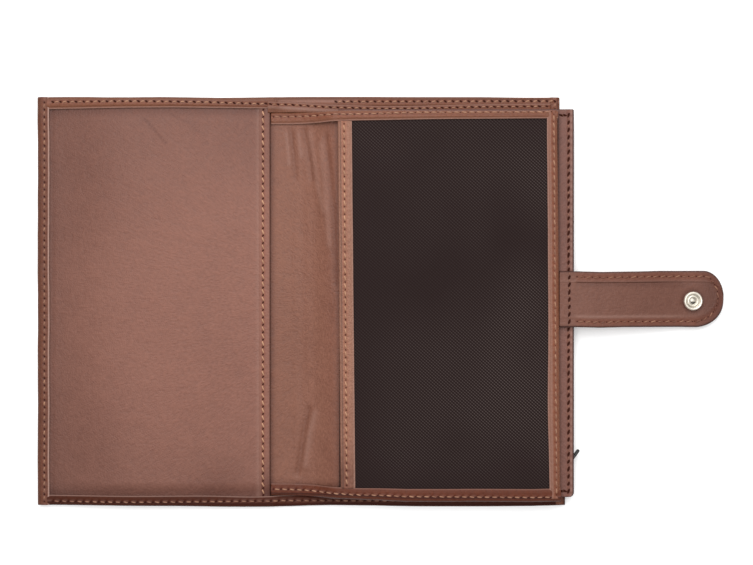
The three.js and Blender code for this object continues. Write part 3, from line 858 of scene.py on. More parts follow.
def makePocket():
    xs = stations(pocketLow[0] + 1.0, 0.75, left + 14, 1.25, pocketRight - 6.4, 0.36, pocketRight - 1.2, 0.2,
                  pocketRight - 0.2, 0.1, pocketRight)
    ys = stations(pocketLow[1] + 1.0, pocket["seamPitch"] / 6, pocketHigh[1] - 1.0)
    seamX = pocketRight - pocket["seamInset"]

    def place(x, y, level):
        z = arch(x) + leather + pocketLift(x, y)
        broad = 0.16 * wave(x, y, 62, 11) + 0.07 * wave(x, y, 24, 12)
        inside = smooth((x - left - 8) / 12) * smooth((pocketRight - x) / 6)
        z = z + broad * inside * smooth((coverTop - 9 - np.abs(y)) / 8)
        fold = smooth((x - pocketRight + 6.2) / 1.6)
        z = z + pocket["foldRoll"] * fold
        dip = pucker(pocketSeam, y, x - seamX, 0.34)
        fromHem = x - left - cover["sideHem"]
        pressed = 0.18 * bell(fromHem - 1.2, 1.1)
        thick = leather + 0.35 * fold
        end = np.clip((pocketRight - x) / 0.7, 0, 1)
        curve = np.sqrt(1 - (1 - end) ** 2)
        middle = z + thick / 2
        xx = x + pocket["edgeShift"] * smooth((x - pocketRight + 3) / 3)
        if level:
            return xx, y, middle + thick / 2 * curve - dip - pressed
        return xx, y, middle - thick / 2 * curve

    def marksAt(x, y, level):
        fromHem = x - left - cover["sideHem"]
        # darker beside the left hem: the leather pressed in under the seam, and painted shade under the
        # hem's edge
        pressed = 0.12 * smooth(1.4 - fromHem / pocket["pressed"]) + 0.07 * bell(fromHem, 8)
        shade = pocket["hemShade"]
        topShade = shade["top"] * bell(coverTop - cover["topHem"] - y, shade["reach"])
        footShade = shade["foot"] * bell(y - coverFoot - cover["bottomHem"], shade["reach"])
        # real scratches, a soft darker patch, and painted shade low by the free edge
        scratchesAndShade = 0 * x
        for points, depth in pocket["scratches"]:
            scratchesAndShade = np.maximum(scratchesAndShade, nearLine(x, y, points, pocket["scratchWidth"]) * depth)
        darkPatch = pocket["darkPatch"]
        away = ((x - darkPatch["x"]) / darkPatch["wide"]) ** 2 + ((y - darkPatch["y"]) / darkPatch["high"]) ** 2
        scratchesAndShade = scratchesAndShade + darkPatch["depth"] * np.exp(-away)
        scratchesAndShade = scratchesAndShade + pocket["footCornerShade"] * smooth((-84 - y) / 14) * smooth((x - pocketRight + 7) / 5)
        aside = x - seamX
        holes = holeMarks(pocketSeam, y, aside, 0.75)
        # the free edge: dark edge paint with painted shade beside it; painted highlights either side of the
        # seam
        edge = 0.75 * bell(pocketRight - x, 0.45)
        bright = 0.2 * bell(aside + 2.2, 1.3) + 0.06 * bell(aside - 1.3, 0.7)
        return {"press": np.clip(pressed + topShade + footShade + scratchesAndShade + holes, 0, 1),
                "seam": bell(aside, 1.4), "edge": edge, "pale": bright + 0 * y}

    return gridBody("pocketPanel", xs, ys, place, marksAt, paint["pocket"])


pocketPanel = makePocket()
print("pocket made")


# Lining of the spine and framed page on the back half

page = {
    "hem": 5.5,
    "sideHem": 6.0,
    "topRise": 0.25,
    "topWidths": [(-60.0, 6.2), (-30.0, 6.1), (-14.0, 5.6), (37.0, 4.7), (88.0, 4.4)],
    "topInsets": [(-60.0, 2.2), (-14.0, 2.2), (20.0, 1.3), (88.0, 1.0)],
    "footWidths": [(-60.0, 6.4), (-30.0, 6.4), (-14.0, 6.2), (10.0, 7.0), (88.0, 7.1)],
    "footInsets": [(-60.0, 3.4), (-30.0, 3.2), (-14.0, 2.8), (2.0, 3.2), (88.0, 2.6)],
    "footDrops": [(-60.0, 0.0), (-20.0, 0.3), (12.0, 1.85), (80.0, 1.9), (88.0, 1.7)],
    "sideInset": 2.4,
    "hemPitch": 3.96,
    "tuck": 6.0,
    "panelInset": 1.4,
    "tongueInset": 5.0,
    "sideWiden": {"at": -56, "reach": 28, "by": 0.6},
    # each crease is its points, its depth (a ridge where below 0) and its width
    "creases": [
        ([(-40.8, 92.0), (-39.0, 84.0), (-37.4, 74.0), (-36.4, 65.5)], 0.8, 1.2),
        ([(-38.2, 90.0), (-35.6, 76.0), (-33.4, 62.0), (-30.0, 48.0)], -0.5, 1.5),
        ([(-28.8, 88.0), (-26.6, 70.0), (-24.6, 48.2), (-23.9, 8.8)], 0.6, 1.1),
        ([(-31.8, 84.0), (-29.6, 62.0), (-27.4, 30.0)], -0.4, 1.5),
        ([(-48.4, 92.0), (-46.6, 78.0), (-45.6, 66.0)], 0.55, 1.1),
        ([(-50.4, 90.0), (-49.0, 74.0)], -0.35, 1.3),
        ([(-44.0, 90.0), (-42.6, 78.0)], -0.3, 1.1),
        ([(-38.8, -58.0), (-41.4, -70.7), (-43.6, -86.3), (-44.9, -92.6)], 0.8, 1.1),
        ([(-35.8, -60.0), (-38.6, -72.0), (-40.8, -88.0)], -0.55, 1.5),
    ],
}
pageTop = pageHigh[1]
pageFoot = pageLow[1]
pageSeams = {
    "top": seamFrom(pocketRight + 2.0, pageRight - 4.5, page["hemPitch"], -0.3),
    "foot": seamFrom(pocketRight + 2.0, pageRight - 4.5, page["hemPitch"], -0.3),
    "side": seamFrom(pageFoot + 2.2, pageTop - 2.0, page["hemPitch"], -0.3),
}


def leanOfPage(x, y):
    share = np.clip((x - creaseLeft) / case["creaseWidth"], 0, 1)
    return -case["pageLean"] * y * share / (pageTop - pageFoot)


def pageUnder(x):
    innerFace = leather + gap
    return innerFace + arch(x) + (pageBottom - innerFace) * climb(x)


def hemSpace(x):
    return gap + (pageFlapTop - pageBottom - 2 * leather - gap) * climb(x)


def liningRelief(x, y):
    relief = 0 * x
    for points, depth, width in page["creases"]:
        relief = relief - depth * nearLine(x, y, points, width * 1.4)
    inside = smooth((np.minimum(pageTop - y, y - pageFoot) - page["hem"]) / 5)
    spine = smooth((x - pocketRight) / 6) * smooth((creaseRight + 2 - x) / 5)
    ripple = 0.16 * wave(x * 3.2, y, 44, 21) + 0.08 * wave(x * 2, y, 17, 22)
    return (relief + ripple * spine) * inside


def makeLining():
    start = pocketRight - page["tuck"]
    shoulder = pocketRight + 2 * gap
    inset = page["panelInset"]
    tongueFoot = pageFoot + page["tongueInset"]
    tongueTop = pageTop - page["tongueInset"]
    xs = stations(start, 1.5, shoulder, 0.5, creaseRight + 2, 5.0, pageRight - inset)
    ys = stations(pageFoot + inset, 0.9, tongueFoot, 1.0, tongueTop, 0.9, pageTop - inset)
    tucked = xs[:-1] < shoulder - tiny
    middle = (ys[:-1] > tongueFoot - tiny) & (ys[1:] < tongueTop + tiny)
    filled = (~tucked[:, None] | middle[None, :])[:, :, None]

    def place(x, y, level):
        z = pageUnder(x) + liningRelief(x, y) * (1 if level else 0.8)
        return x + leanOfPage(x, y), y, z + leather * level

    def marksAt(x, y, level):
        # painted shade beside the pocket's edge, up the climb to the spine, in creases and under the hems;
        # painted highlights on the crease ridges
        shade = 0.5 * bell(x - pocketRight - 0.6, 1.8)
        ridge = 0 * x
        shade = shade + 0.2 * smooth((x - creaseRight + 9) / 9) + 0.25 * bell(x - creaseRight + 0.3, 0.9)
        for points, depth, width in page["creases"]:
            if depth > 0:
                shade = shade + 0.22 * nearLine(x, y, points, width * 1.25)
            else:
                ridge = np.maximum(ridge, 0.2 * nearLine(x, y, points, width))
        rim = np.minimum(pageTop - page["hem"] - y, y - pageFoot - page["hem"])
        shade = shade + 0.25 * bell(rim - 0.3, 0.8)
        shade = shade + 0.25 * bell(y - pageFoot - page["hem"] - 1, 2.5)
        # redder and darker up the climb to the spine: painted shade, carried by the seam tint
        climbShade = 0.3 * smooth((x - creaseRight + 10) / 10)
        return {"press": np.clip(shade, 0, 1), "seam": climbShade, "pale": ridge}

    panel = gridBody("liningPanel", xs, ys, place, marksAt, paint["lining"], filled)
    step = page["hemPitch"] / 7
    alongX = stations(shoulder + 0.1, step, pageRight - 0.1)
    alongY = stations(pageFoot + 0.05, step, pageTop - 0.05)

    def topEdge(s, d, h):
        top = pageTop + page["topRise"]
        return s + leanOfPage(s, pageTop), top - d - 0.4 * edgeWobble(s, 7), pageUnder(s) + h

    def footEdge(s, d, h):
        drop = valueAt(page["footDrops"], s)
        return s + leanOfPage(s, pageFoot), pageFoot - drop + d + 0.5 * edgeWobble(s, 8), pageUnder(s) + h

    def rightEdge(s, d, h):
        return pageRight - d + leanOfPage(pageRight, s) + 0.5 * edgeWobble(s, 9), s, pageBottom + h

    widen = page["sideWiden"]
    sideWidth = page["sideHem"] + widen["by"] * bell(alongY - widen["at"], widen["reach"])
    hems = [
        hemStrip("pageHemTop", alongX, valueAt(page["topWidths"], alongX), hemSpace(alongX), topEdge,
                 valueAt(page["topInsets"], alongX), pageSeams["top"], paint["page"],
                 {"seed": 5, "inner": 0.08, "edge": 0.4, "rim": 0.25}),
        # bottom hem: the darker pageFoot leather and stronger dark edges are painted shade
        hemStrip("pageHemFoot", alongX, valueAt(page["footWidths"], alongX), hemSpace(alongX), footEdge,
                 valueAt(page["footInsets"], alongX), pageSeams["foot"], paint["pageFoot"],
                 {"seed": 6, "edge": 1.0, "rim": 0.9, "line": 0.3, "lineAt": 0.2}),
        hemStrip("pageHemSide", alongY, sideWidth, hemSpace(pageRight), rightEdge, page["sideInset"],
                 pageSeams["side"], paint["page"],
                 {"seed": 7, "lift": 0.12, "inner": 0.32, "line": 0.5, "rim": 0.0, "edge": 0.15,
                  "holeShade": 0.2, "ridge": 0.42, "ridgeAt": page["sideInset"] - 0.7}),
    ]
    return panel, joinPieces("pageHem", hems)


liningPanel, pageHem = makeLining()
print("page made")


# Mesh window and the binding on its free edge

mesh = {"sag": 0.45, "bindingLeather": 0.7, "bindingInset": 3.4, "bindingPitch": 3.96, "bindingShade": 0.62}


def makeMesh():
    xs = stations(meshLow[0], 1.8, meshHigh[0])
    ys = stations(meshLow[1], 2.0, meshHigh[1])
    thickness = meshHigh[2] - meshLow[2]

    def place(x, y, level):
        inside = smooth((x - meshLow[0] - 6) / 12) * smooth((meshHigh[0] - 6 - x) / 10)
        inside = inside * smooth((meshHigh[1] - 5 - y) / 12) * smooth((y - meshLow[1] - 5) / 12)
        sag = (0.5 * wave(x, y, 75, 31) + 0.25 * wave(x, y, 33, 32) - 0.4) * mesh["sag"] * inside
        return x, y, meshLow[2] + thickness * level + sag

    return gridBody("meshCloth", xs, ys, place, None, meshCloth)


bindingSeam = seamFrom(bindingLow[1] + 1.2, bindingHigh[1] - 1.2, mesh["bindingPitch"], 0.4)


def makeBinding():
    thin = mesh["bindingLeather"]
    width = bindingHigh[0] - bindingLow[0] - case["pageLean"]
    bindingLeft = bindingLow[0] + case["pageLean"] / 2
    places = stations(bindingLow[1] - 0.25, mesh["bindingPitch"] / 7, bindingHigh[1] + 0.25)

    def toWorld(s, d, h):
        lean = leanOfPage(creaseRight, s)
        spread = -0.5 * s / (pageTop - pageFoot)
        x = bindingLeft + d * (1 + spread * 0.12) + lean + 0.25 * edgeWobble(s, 13)
        return x, s, bindingLow[2] + h

    space = bindingHigh[2] - bindingLow[2] - 2 * thin
    shade = mesh["bindingShade"] * smooth((-70 - places) / 26)
    strip = hemStrip("meshBinding", places, width + 0 * places, space, toWorld, mesh["bindingInset"],
                     bindingSeam, paint["binding"],
                     {"seed": 8, "thickness": thin, "edge": 0.35, "shade": shade})
    return setOutward(strip)


meshPiece = makeMesh()
bindingPiece = makeBinding()
print("mesh made")


# Divider, gusset and top panel of the zipped pouch

pouch = {
    "dividerSteps": [(-60.5, 2.5), (-50.0, 2.6), (-28.0, 4.0), (0.0, 4.8), (22.0, 4.6), (50.0, 3.9),
                     (92.0, 3.5)],
    "dividerInset": 1.55,
    "dividerPitch": 4.0,
    "armStart": -60.6,
    "tabSeam": 2.95,
    "tabEnd": 2.9,
    "tabPitch": 3.94,
    "tabRound": 2.6,
    "topRound": 0.8,
    "tabReach": 0.4,
    "gussetLeather": 0.8,
    "gussetLeg": 6.0,
}
dividerSeam = seamFrom(pouch["armStart"] + 1.6, dividerHigh[0] - 2, pouch["dividerPitch"], -0.5)
tabSeam = seamFrom(pouchLow[1] + pouch["tabEnd"], pouchHigh[1] - pouch["tabEnd"], pouch["tabPitch"], 0.35)


def dividerTop(x):
    return coverTop - valueAt(pouch["dividerSteps"], x)


def edgeRound(distance, reach):
    # 1 inside, falling to 0 at the edge as a quarter circle does
    return np.sqrt(1 - (1 - np.clip(distance / reach, 0, 1)) ** 2)


def makeDivider():
    bandFoot = pageTop + gap
    xs = stations(pouch["armStart"], 0.57, creaseLeft + 18, 0.66, dividerHigh[0])
    rows = stations(0.0, 0.45, 3.4, 0.12, 4.6)
    ys = np.concatenate([stations(dividerLow[1], 9.0, bandFoot), bandFoot + rows[1:]])
    wide = rows[-1]
    full = xs[:-1] > frontEdge + gap + 21
    band = ys[:-1] > bandFoot - tiny
    filled = (full[:, None] | band[None, :])[:, :, None]

    def trueY(x, y):
        share = np.clip((y - bandFoot) / wide, 0, 1)
        return np.where(y > bandFoot, bandFoot + (dividerTop(x) - bandFoot) * share, y), share

    def place(x, y, level):
        yy, share = trueY(x, y)
        fromTop = dividerTop(x) - yy
        soft = edgeRound(fromTop, 0.5) * edgeRound(x - pouch["armStart"], 0.5)
        dip = pucker(dividerSeam, x, fromTop - pouch["dividerInset"])
        onHem = arch(x) + 2 * leather + grooveDepth(x) + 0.1
        base = np.maximum(dividerLow[2], onHem)
        base = base - 0.9 * smooth((fromTop - 2.6) / 2.4) * smooth((frontEdge - x) / 5)
        middle = base + leather / 2 + 0.12 * wave(x, y, 30, 41) * share
        if level:
            return x, yy, middle + leather / 2 * soft - dip
        return x, yy, middle - leather / 2 * soft

    def marksAt(x, y, level):
        yy, share = trueY(x, y)
        fromTop = dividerTop(x) - yy
        aside = fromTop - pouch["dividerInset"]
        holes = holeMarks(dividerSeam, x, aside, 0.85)
        arm = smooth((-12 - x) / 14)
        # darker at the band's foot: painted shade in the gap there, less on the arm; painted highlights
        # along the top edge and the arm
        deep = 0.45 * bell(yy - bandFoot, 0.8) + 0.12 * smooth((fromTop - 2.6) / 1.5)
        pale = 0.35 * bell(fromTop - 0.5, 0.4) + 0.42 * arm * bell(fromTop - 3.3, 0.8)
        return {"edge": 0.2 * bell(fromTop, 0.35), "seam": bell(aside, 1.2),
                "press": np.clip(holes + deep * (1 - 0.7 * arm), 0, 1), "pale": pale}

    return gridBody("dividerPanel", xs, ys, place, marksAt, paint["hem"], filled)


def cornerPull(distance, radius):
    # how far a corner of this radius stands back, at a distance from the end
    near = np.clip(radius - distance, 0, None)
    return radius - np.sqrt(np.clip(radius ** 2 - near ** 2, 0, None))


def makePouchPanel():
    right = pouchHigh[0]
    foot = pouchLow[1]
    top = pouchHigh[1]
    xs = stations(pouchLow[0], 9.0, pageRight - 6, 0.45, right - 0.9, 0.15, right)
    ys = stations(foot, 0.15, foot + 0.9, pouch["tabPitch"] / 7, top - 0.9, 0.15, top)
    seamX = right - pouch["tabSeam"]

    def place(x, y, level):
        pull = cornerPull(y - foot, pouch["tabRound"]) + cornerPull(top - y, pouch["topRound"])
        near = smooth((x - right + 8) / 8)
        xx = x - pull * near + 0.2 * near * edgeWobble(y, 15)
        yy = y + pouch["tabReach"] * (2 * y - top - foot) / (top - foot)
        curve = edgeRound(right - x, 0.6) * edgeRound(np.minimum(y - foot, top - y), 0.6)
        fold = smooth((x - right + 5.4) / 1.2)
        dip = pucker(tabSeam, y, x - seamX, 0.32)
        thick = leather + 0.3 * fold
        middle = pouchLow[2] + thick / 2
        if level:
            return xx, yy, middle + thick / 2 * curve - dip
        return xx, yy, middle - thick / 2 * curve

    def marksAt(x, y, level):
        aside = x - seamX
        holes = holeMarks(tabSeam, y, aside, 0.9, 0.8)
        edge = 0.95 * smooth(1.5 - (right - x) / 0.75)
        edge = np.maximum(edge, 0.8 * bell(np.minimum(y - foot, top - y), 0.4))
        # painted shade beside the page's edge; painted highlights on the bulges between holes by the outer
        # edge; a little darker about 36 mm up and towards the bottom
        shade = 0.5 * bell(x - pageRight - 0.2, 0.9)
        bulge = 1 - holesAlong(tabSeam, y, aside)
        rim = 0.5 * bell(right - 1.5 - x, 0.45) * (0.1 + 0.9 * bulge)
        dimming = 0.15 * bell(y - 36, 26) + 0.06 * smooth((-70 - y) / 30)
        return {"edge": edge, "seam": 0.7 * bell(aside, 1.2),
                "press": np.clip(shade + holes + dimming, 0, 1), "pale": rim}

    return gridBody("pouchTop", xs, ys, place, marksAt, paint["tab"])


def makeGusset():
    thin = pouch["gussetLeather"]
    leg = pouch["gussetLeg"]
    depth = gussetHigh[2] - gussetLow[2]
    x0, x1 = gussetLow[0], gussetHigh[0]
    y0, y1 = gussetLow[1], gussetHigh[1]
    xs = stations(x0, 0.2, x0 + 0.4, thin / 2 - 0.1, x0 + thin, 1.3, x0 + leg, 4.0, x1)
    ys = stations(y0, 0.2, y0 + 0.4, 0.2, y0 + thin, 1.3, y0 + leg, 12.0, y1 - leg, 1.3, y1 - thin, 0.2,
                  y1 - 0.4, 0.2, y1)
    heights = [0, thin, depth - thin, depth]

    def fromRim(x, y):
        return np.minimum(x - x0, np.minimum(y - y0, y1 - y))

    ring = fromRim((xs[:-1, None] + xs[1:, None]) / 2, (ys[None, :-1] + ys[None, 1:]) / 2)
    filled = np.stack([ring < leg, ring < thin, ring < leg], -1)

    def place(x, y, level):
        curve = edgeRound(fromRim(x, y), 0.9)
        bulge = 0.0 if level in (1, 2) else 0.12 * wave(x, y, 26, 51)
        height = heights[level] - depth / 2
        return x, y, gussetLow[2] + depth / 2 + height * (0.45 + 0.55 * curve) + bulge * (1 - curve)

    def marksAt(x, y, level):
        return {"edge": 0.3 * bell(fromRim(x, y), 0.5), "press": 0 * x + 0.2}

    return gridBody("pouchGusset", xs, ys, place, marksAt, paint["hem"], filled)


dividerPanel = makeDivider()
pouchTopPanel = makePouchPanel()
gussetPiece = makeGusset()
print("pouch made")


# Strap with its round end

strap = {
    "hem": 6.0,
    "tipLength": 10.5,
    "tipLower": 15.5,
    "upperEdge": [(104, -0.1), (107, -0.2), (117, -0.45), (128, -0.3), (139, -0.15), (149, 0.15),
                  (172, 0.2)],
    "lowerEdge": [(104, 0.2), (117, -0.15), (128, 0.1), (139, 0.1), (160, 0.08), (172, -0.1)],
    "tipFlat": 1.5,
    "seamInset": 3.0,
    "seamPitch": 4.0,
    "pucker": 0.22,
    "fall": [(0.0, 0.0), (0.12, 0.03), (0.3, 0.22), (0.5, 0.55), (0.62, 0.82), (0.72, 1.0), (1.0, 1.0)],
    "groove": 0.2,
    "dimple": 0.25,
    "wobble": 0.15,
    "rootFade": 2.2,
    "tipFade": 20,
    "tipShade": 0.45,
}
strapRoot = strapLow[0]
strapTip = strapHigh[0]
strapMiddle = (strapLow[1] + strapHigh[1]) / 2
strapHalf = (strapHigh[1] - strapLow[1]) / 2
strapStart = pageBottom
strapSeat = strapLow[2]
tabRight = pouchHigh[0]
strapSeam = seamFrom(tabRight + 1.2, strapTip - strap["tipLength"], strap["seamPitch"], -0.4)
facingSeam = {**strapSeam, "slant": 0.4}


def strapUnder(x):
    share = (x - tabRight) / (strapTip - tabRight)
    fallen = softened(strap["fall"], share, np.linspace(-0.2, 1.0, 121), 4)
    return strapStart + (strapSeat - strapStart) * fallen


def strapHalfWidth(x, tip):
    share = np.clip((x - strapTip + tip) / tip, 0, 1)
    return strap["tipFlat"] + (strapHalf - strap["tipFlat"]) * np.sqrt(1 - share * share)


def pastTab(x):
    # 0 over the tab, where the strap's root lies plain, and 1 beyond it
    return smooth((x - tabRight + 0.4) / strap["rootFade"])


def towardTip(x):
    return smooth((x - strapTip + 34) / strap["tipFade"])


def lineFade(x, loss):
    # lines along the strap are missing over the tab and lose this share towards the tip
    return (1 - loss * towardTip(x)) * pastTab(x)


def tipShade(x):
    return strap["tipShade"] * smooth((x - strapTip + 18) / 14)


def strapStations():
    turn = np.linspace(0, math.pi / 2, 30)
    tip = strapTip - strap["tipLength"] + strap["tipLength"] * np.sin(turn)
    step = strap["seamPitch"] / 7
    return np.concatenate([stations(strapRoot, step, strapTip - strap["tipLength"])[:-1], tip])


def strapShape(x, y):
    # true place across the strap and distance to its outline
    tip = np.where(y > 0, strap["tipLength"], strap["tipLower"])
    half = strapHalfWidth(x, tip)
    across = y / strapHalf * half
    toSide = half - np.abs(across)
    slope = np.clip((strapTip - x) / tip, 0.05, 1)
    edge = np.where(y > 0, valueAt(strap["upperEdge"], x), valueAt(strap["lowerEdge"], x))
    inside = np.minimum(toSide * slope ** 0.35, (strapTip - x) * 0.75 + toSide * 0.25)
    return strapMiddle + across + edge * np.abs(y) / strapHalf, inside


def makeStrap():
    xs = strapStations()
    hem = strap["hem"]
    ys = stations(-strapHalf, 0.12, -strapHalf + 0.6, 0.5, strapHalf - hem, 0.5, strapHalf - 1.0, 0.12,
                  strapHalf)
    midY = (ys[:-1] + ys[1:]) / 2
    filled = np.zeros((len(xs) - 1, len(ys) - 1, 3), bool)
    filled[:, :, 0] = True
    filled[:, midY > strapHalf - leather, 1] = True
    filled[:, midY > strapHalf - hem, 2] = True
    heights = [0, leather, leather + gap, 2 * leather + gap]
    total = heights[-1]

    def place(x, y, level):
        yy, inside = strapShape(x, y)
        upper = y > strapHalf - hem - tiny
        curve = np.where(upper, edgeRound(strapHalf - y, 1.1), edgeRound(inside, 0.5))
        middle = np.where(upper, total / 2, leather / 2)
        h = middle + (heights[level] - middle) * curve
        dip = pucker(strapSeam, x, inside - strap["seamInset"], strap["pucker"])
        fade = lineFade(x, 0.85)
        top = (level == 3) * (-dip - 0.3 * fade * bell(y - strapHalf + hem, 0.5))
        return x, yy + strap["wobble"] * edgeWobble(x, 17), strapUnder(x) + h + top

    def rootHoles(x, y):
        return holeMarks(tabSeam, y, x - tabRight + pouch["tabSeam"], 0.9, 0.8)

    def marksAt(x, y, level):
        yy, inside = strapShape(x, y)
        aside = inside - strap["seamInset"]
        holes = holeMarks(strapSeam, x, aside, 0.4) + rootHoles(x, yy)
        fade = lineFade(x, 0.85)
        # painted shade in the groove along the hem's inner edge and at the tip; a painted highlight beside
        # the seam
        inner = 0.2 * fade * bell(y - strapHalf + hem, 0.6)
        return {"edge": 0.95 * bell(inside, 0.7), "seam": bell(aside, 2.0) * pastTab(x),
                "press": np.clip(holes + inner + tipShade(x), 0, 1),
                "pale": 0.16 * bell(aside - 2.4, 0.6)}

    outer = gridBody("strapOuter", xs, ys, place, marksAt, paint["strap"], filled)

    facingTop = strapHalf - hem - 0.1
    ys = stations(-strapHalf, 0.12, -strapHalf + 0.9, 0.5, facingTop - 1.2, 0.15, facingTop)

    def placeFacing(x, y, level):
        yy, inside = strapShape(x, y)
        toHem = facingTop - y
        joined = np.maximum(towardTip(x), 1 - pastTab(x))
        curve = edgeRound(np.minimum(inside, toHem + 0.25 + 1.2 * joined), 0.9)
        middle = leather + gap / 2 + 0.35
        h = middle + ((leather + gap if not level else 2 * leather + gap) - middle) * curve
        dip = pucker(facingSeam, x, inside - strap["seamInset"], strap["pucker"])
        groove = strap["groove"] * bell(toHem, 0.9) * pastTab(x)
        ridge = 0.14 * bell(inside - 5.4, 0.8) * smooth((toHem - 3) / 4)
        fromSnap = np.hypot(x - snapX, yy - snapY)
        dimple = strap["dimple"] * bell(fromSnap - 5.0, 2.2)
        soft = 0.1 * wave(x, y, 22, 61)
        z = strapUnder(x) + h + (level == 1) * (soft + ridge - dip - groove - dimple)
        closing = 0.16 * joined * smooth((1.5 - toHem) / 1.5)
        return x, yy + strap["wobble"] * edgeWobble(x, 17) + closing, z

    def facingMarks(x, y, level):
        yy, inside = strapShape(x, y)
        toHem = facingTop - y
        fromSnap = np.hypot(x - snapX, yy - snapY)
        aside = inside - strap["seamInset"]
        fade = lineFade(x, 0.75)
        # painted shade in the groove under the hem, round the snap's dimple and at the tip, and a little
        # darker past the tab; a painted highlight beside the seam, away from the tip
        press = 0.32 * fade * bell(toHem - 0.6, 1.5) + 0.35 * bell(fromSnap - 5.6, 1.0)
        press = press + tipShade(x) + 0.06 * smooth((x - tabRight - 8) / 30)
        press = press + holeMarks(facingSeam, x, aside, 0.4)
        press = press + rootHoles(x, yy)
        lower = (toHem > 4) * (1 - smooth((x - strapTip + 30) / 14)) * pastTab(x)
        return {"edge": 0.95 * bell(inside, 0.75), "seam": bell(aside, 1.9) * pastTab(x),
                "press": np.clip(press, 0, 1), "pale": 0.3 * bell(aside - 2.7, 0.8) * lower}

    facing = gridBody("strapFacing", xs, ys, placeFacing, facingMarks, paint["strap"])
    return outer, facing


strapOuter, strapFacing = makeStrap()
print("strap made")


# Snap, cap and stud, turned in metal

snap = {
    "sides": 72,
    "round": 0.5,
    "capThick": 1.6,
    "shank": 1.5,
    "knob": 2.1,
    # shares of the socket's radius and height, and whether the corner is rounded
    "socket": [(0, 0, 0), (0.96, 0, 1), (1, 0.45, 1), (0.9, 1, 1), (0.76, 0.92, 1), (0.71, 0.45, 1),
               (0.6, 0.42, 1), (0.55, 0.72, 1), (0.44, 0.72, 1), (0.39, 0.28, 1), (0.3, 0.3, 1),
               (0.2, 0.5, 1), (0, 0.52, 0)],
}


def makeSnap():
    base = socketLow[2]
    socket = scaled(snap["socket"], snapRadius, base, socketHigh[2] - base)
    top = capHigh[2]
    capWide = (capHigh[0] - capLow[0]) / 2
    capThick = snap["capThick"]
    shank = snap["shank"]
    cap = [
        (0, 0, 0), (capWide * 0.62, 0.02, 1), (capWide * 0.93, capThick * 0.5, 1),
        (capWide, capThick * 0.8, 1), (capWide * 0.97, capThick, 1), (shank, capThick, 0), (shank, top, 0),
        (0, top, 0),
    ]
    knob = snap["knob"]
    outer = archHeight - gap
    inner = archHeight + leather + gap
    flange = (studHigh[0] - studLow[0]) / 2
    stud = [
        (0, 0, 0), (shank, 0, 1), (2.0, knob * 0.4, 1), (1.55, knob * 0.82, 1), (1.9, knob, 1),
        (flange * 0.95, knob + 0.1, 1), (flange, outer, 1), (shank, outer, 0), (shank, inner, 0),
        (flange * 0.8, inner, 1), (flange * 0.75, studHigh[2], 1), (0, studHigh[2], 0),
    ]
    turned = (("snapSocket", socket, snapX, snapY), ("snapCap", cap, snapX, snapY),
              ("closureStud", stud, studX, studY))
    return [lathe(name, roundedProfile(profile, snap["round"]), x, y, snap["sides"], nickel)
            for name, profile, x, y in turned]


snapSocket, snapCap, closureStud = makeSnap()
print("snap made")


# Zip: coil, pull, and the CAD's tapes and slider with their own finish

zipper = {
    "pullAngle": 54,
    "pullLength": 11.5,
    "pinReach": 1.75,
    "coilPitch": 1.25,
    "wire": 0.26,
    "tape": 0.6,
    "tapeBend": 0.5,
}
coilLow, coilHigh = cornersOf("zip_coil")
pullJoint = next(j for j in frame["joints"] if j["name"] == "zip_pull_hinge")
hingeX, hingeY = pullJoint["pos_m"][0] / mm, pullJoint["pos_m"][1] / mm
pullLow, pullHigh = cornersOf("zip_pull")


def makeCoil():
    turns = (coilHigh[1] - coilLow[1]) / zipper["coilPitch"]
    wire = zipper["wire"]
    t = np.arange(0, turns, 1 / 10)
    cx = (coilLow[0] + coilHigh[0]) / 2
    cz = (coilLow[2] + coilHigh[2]) / 2
    rx = (coilHigh[0] - coilLow[0]) / 2 - wire
    rz = (coilHigh[2] - coilLow[2]) / 2 - wire
    angle = 2 * math.pi * t
    cy = coilLow[1] + wire + t * (coilHigh[1] - coilLow[1] - 2 * wire) / turns
    centre = np.stack([cx + rx * np.cos(angle), cy, cz + rz * np.sin(angle)], 1)
    ahead = np.gradient(centre, axis=0)
    ahead /= np.linalg.norm(ahead, axis=1)[:, None]
    side = np.cross(ahead, [0, 1, 0])
    side /= np.linalg.norm(side, axis=1)[:, None]
    up = np.cross(side, ahead)
    ring = np.arange(6) * math.pi / 3
    rings = centre[:, None] + wire * (np.cos(ring)[None, :, None] * side[:, None]
                                      + np.sin(ring)[None, :, None] * up[:, None])
    return setOutward(sweep("zipCoil", rings, None, zipBlack))


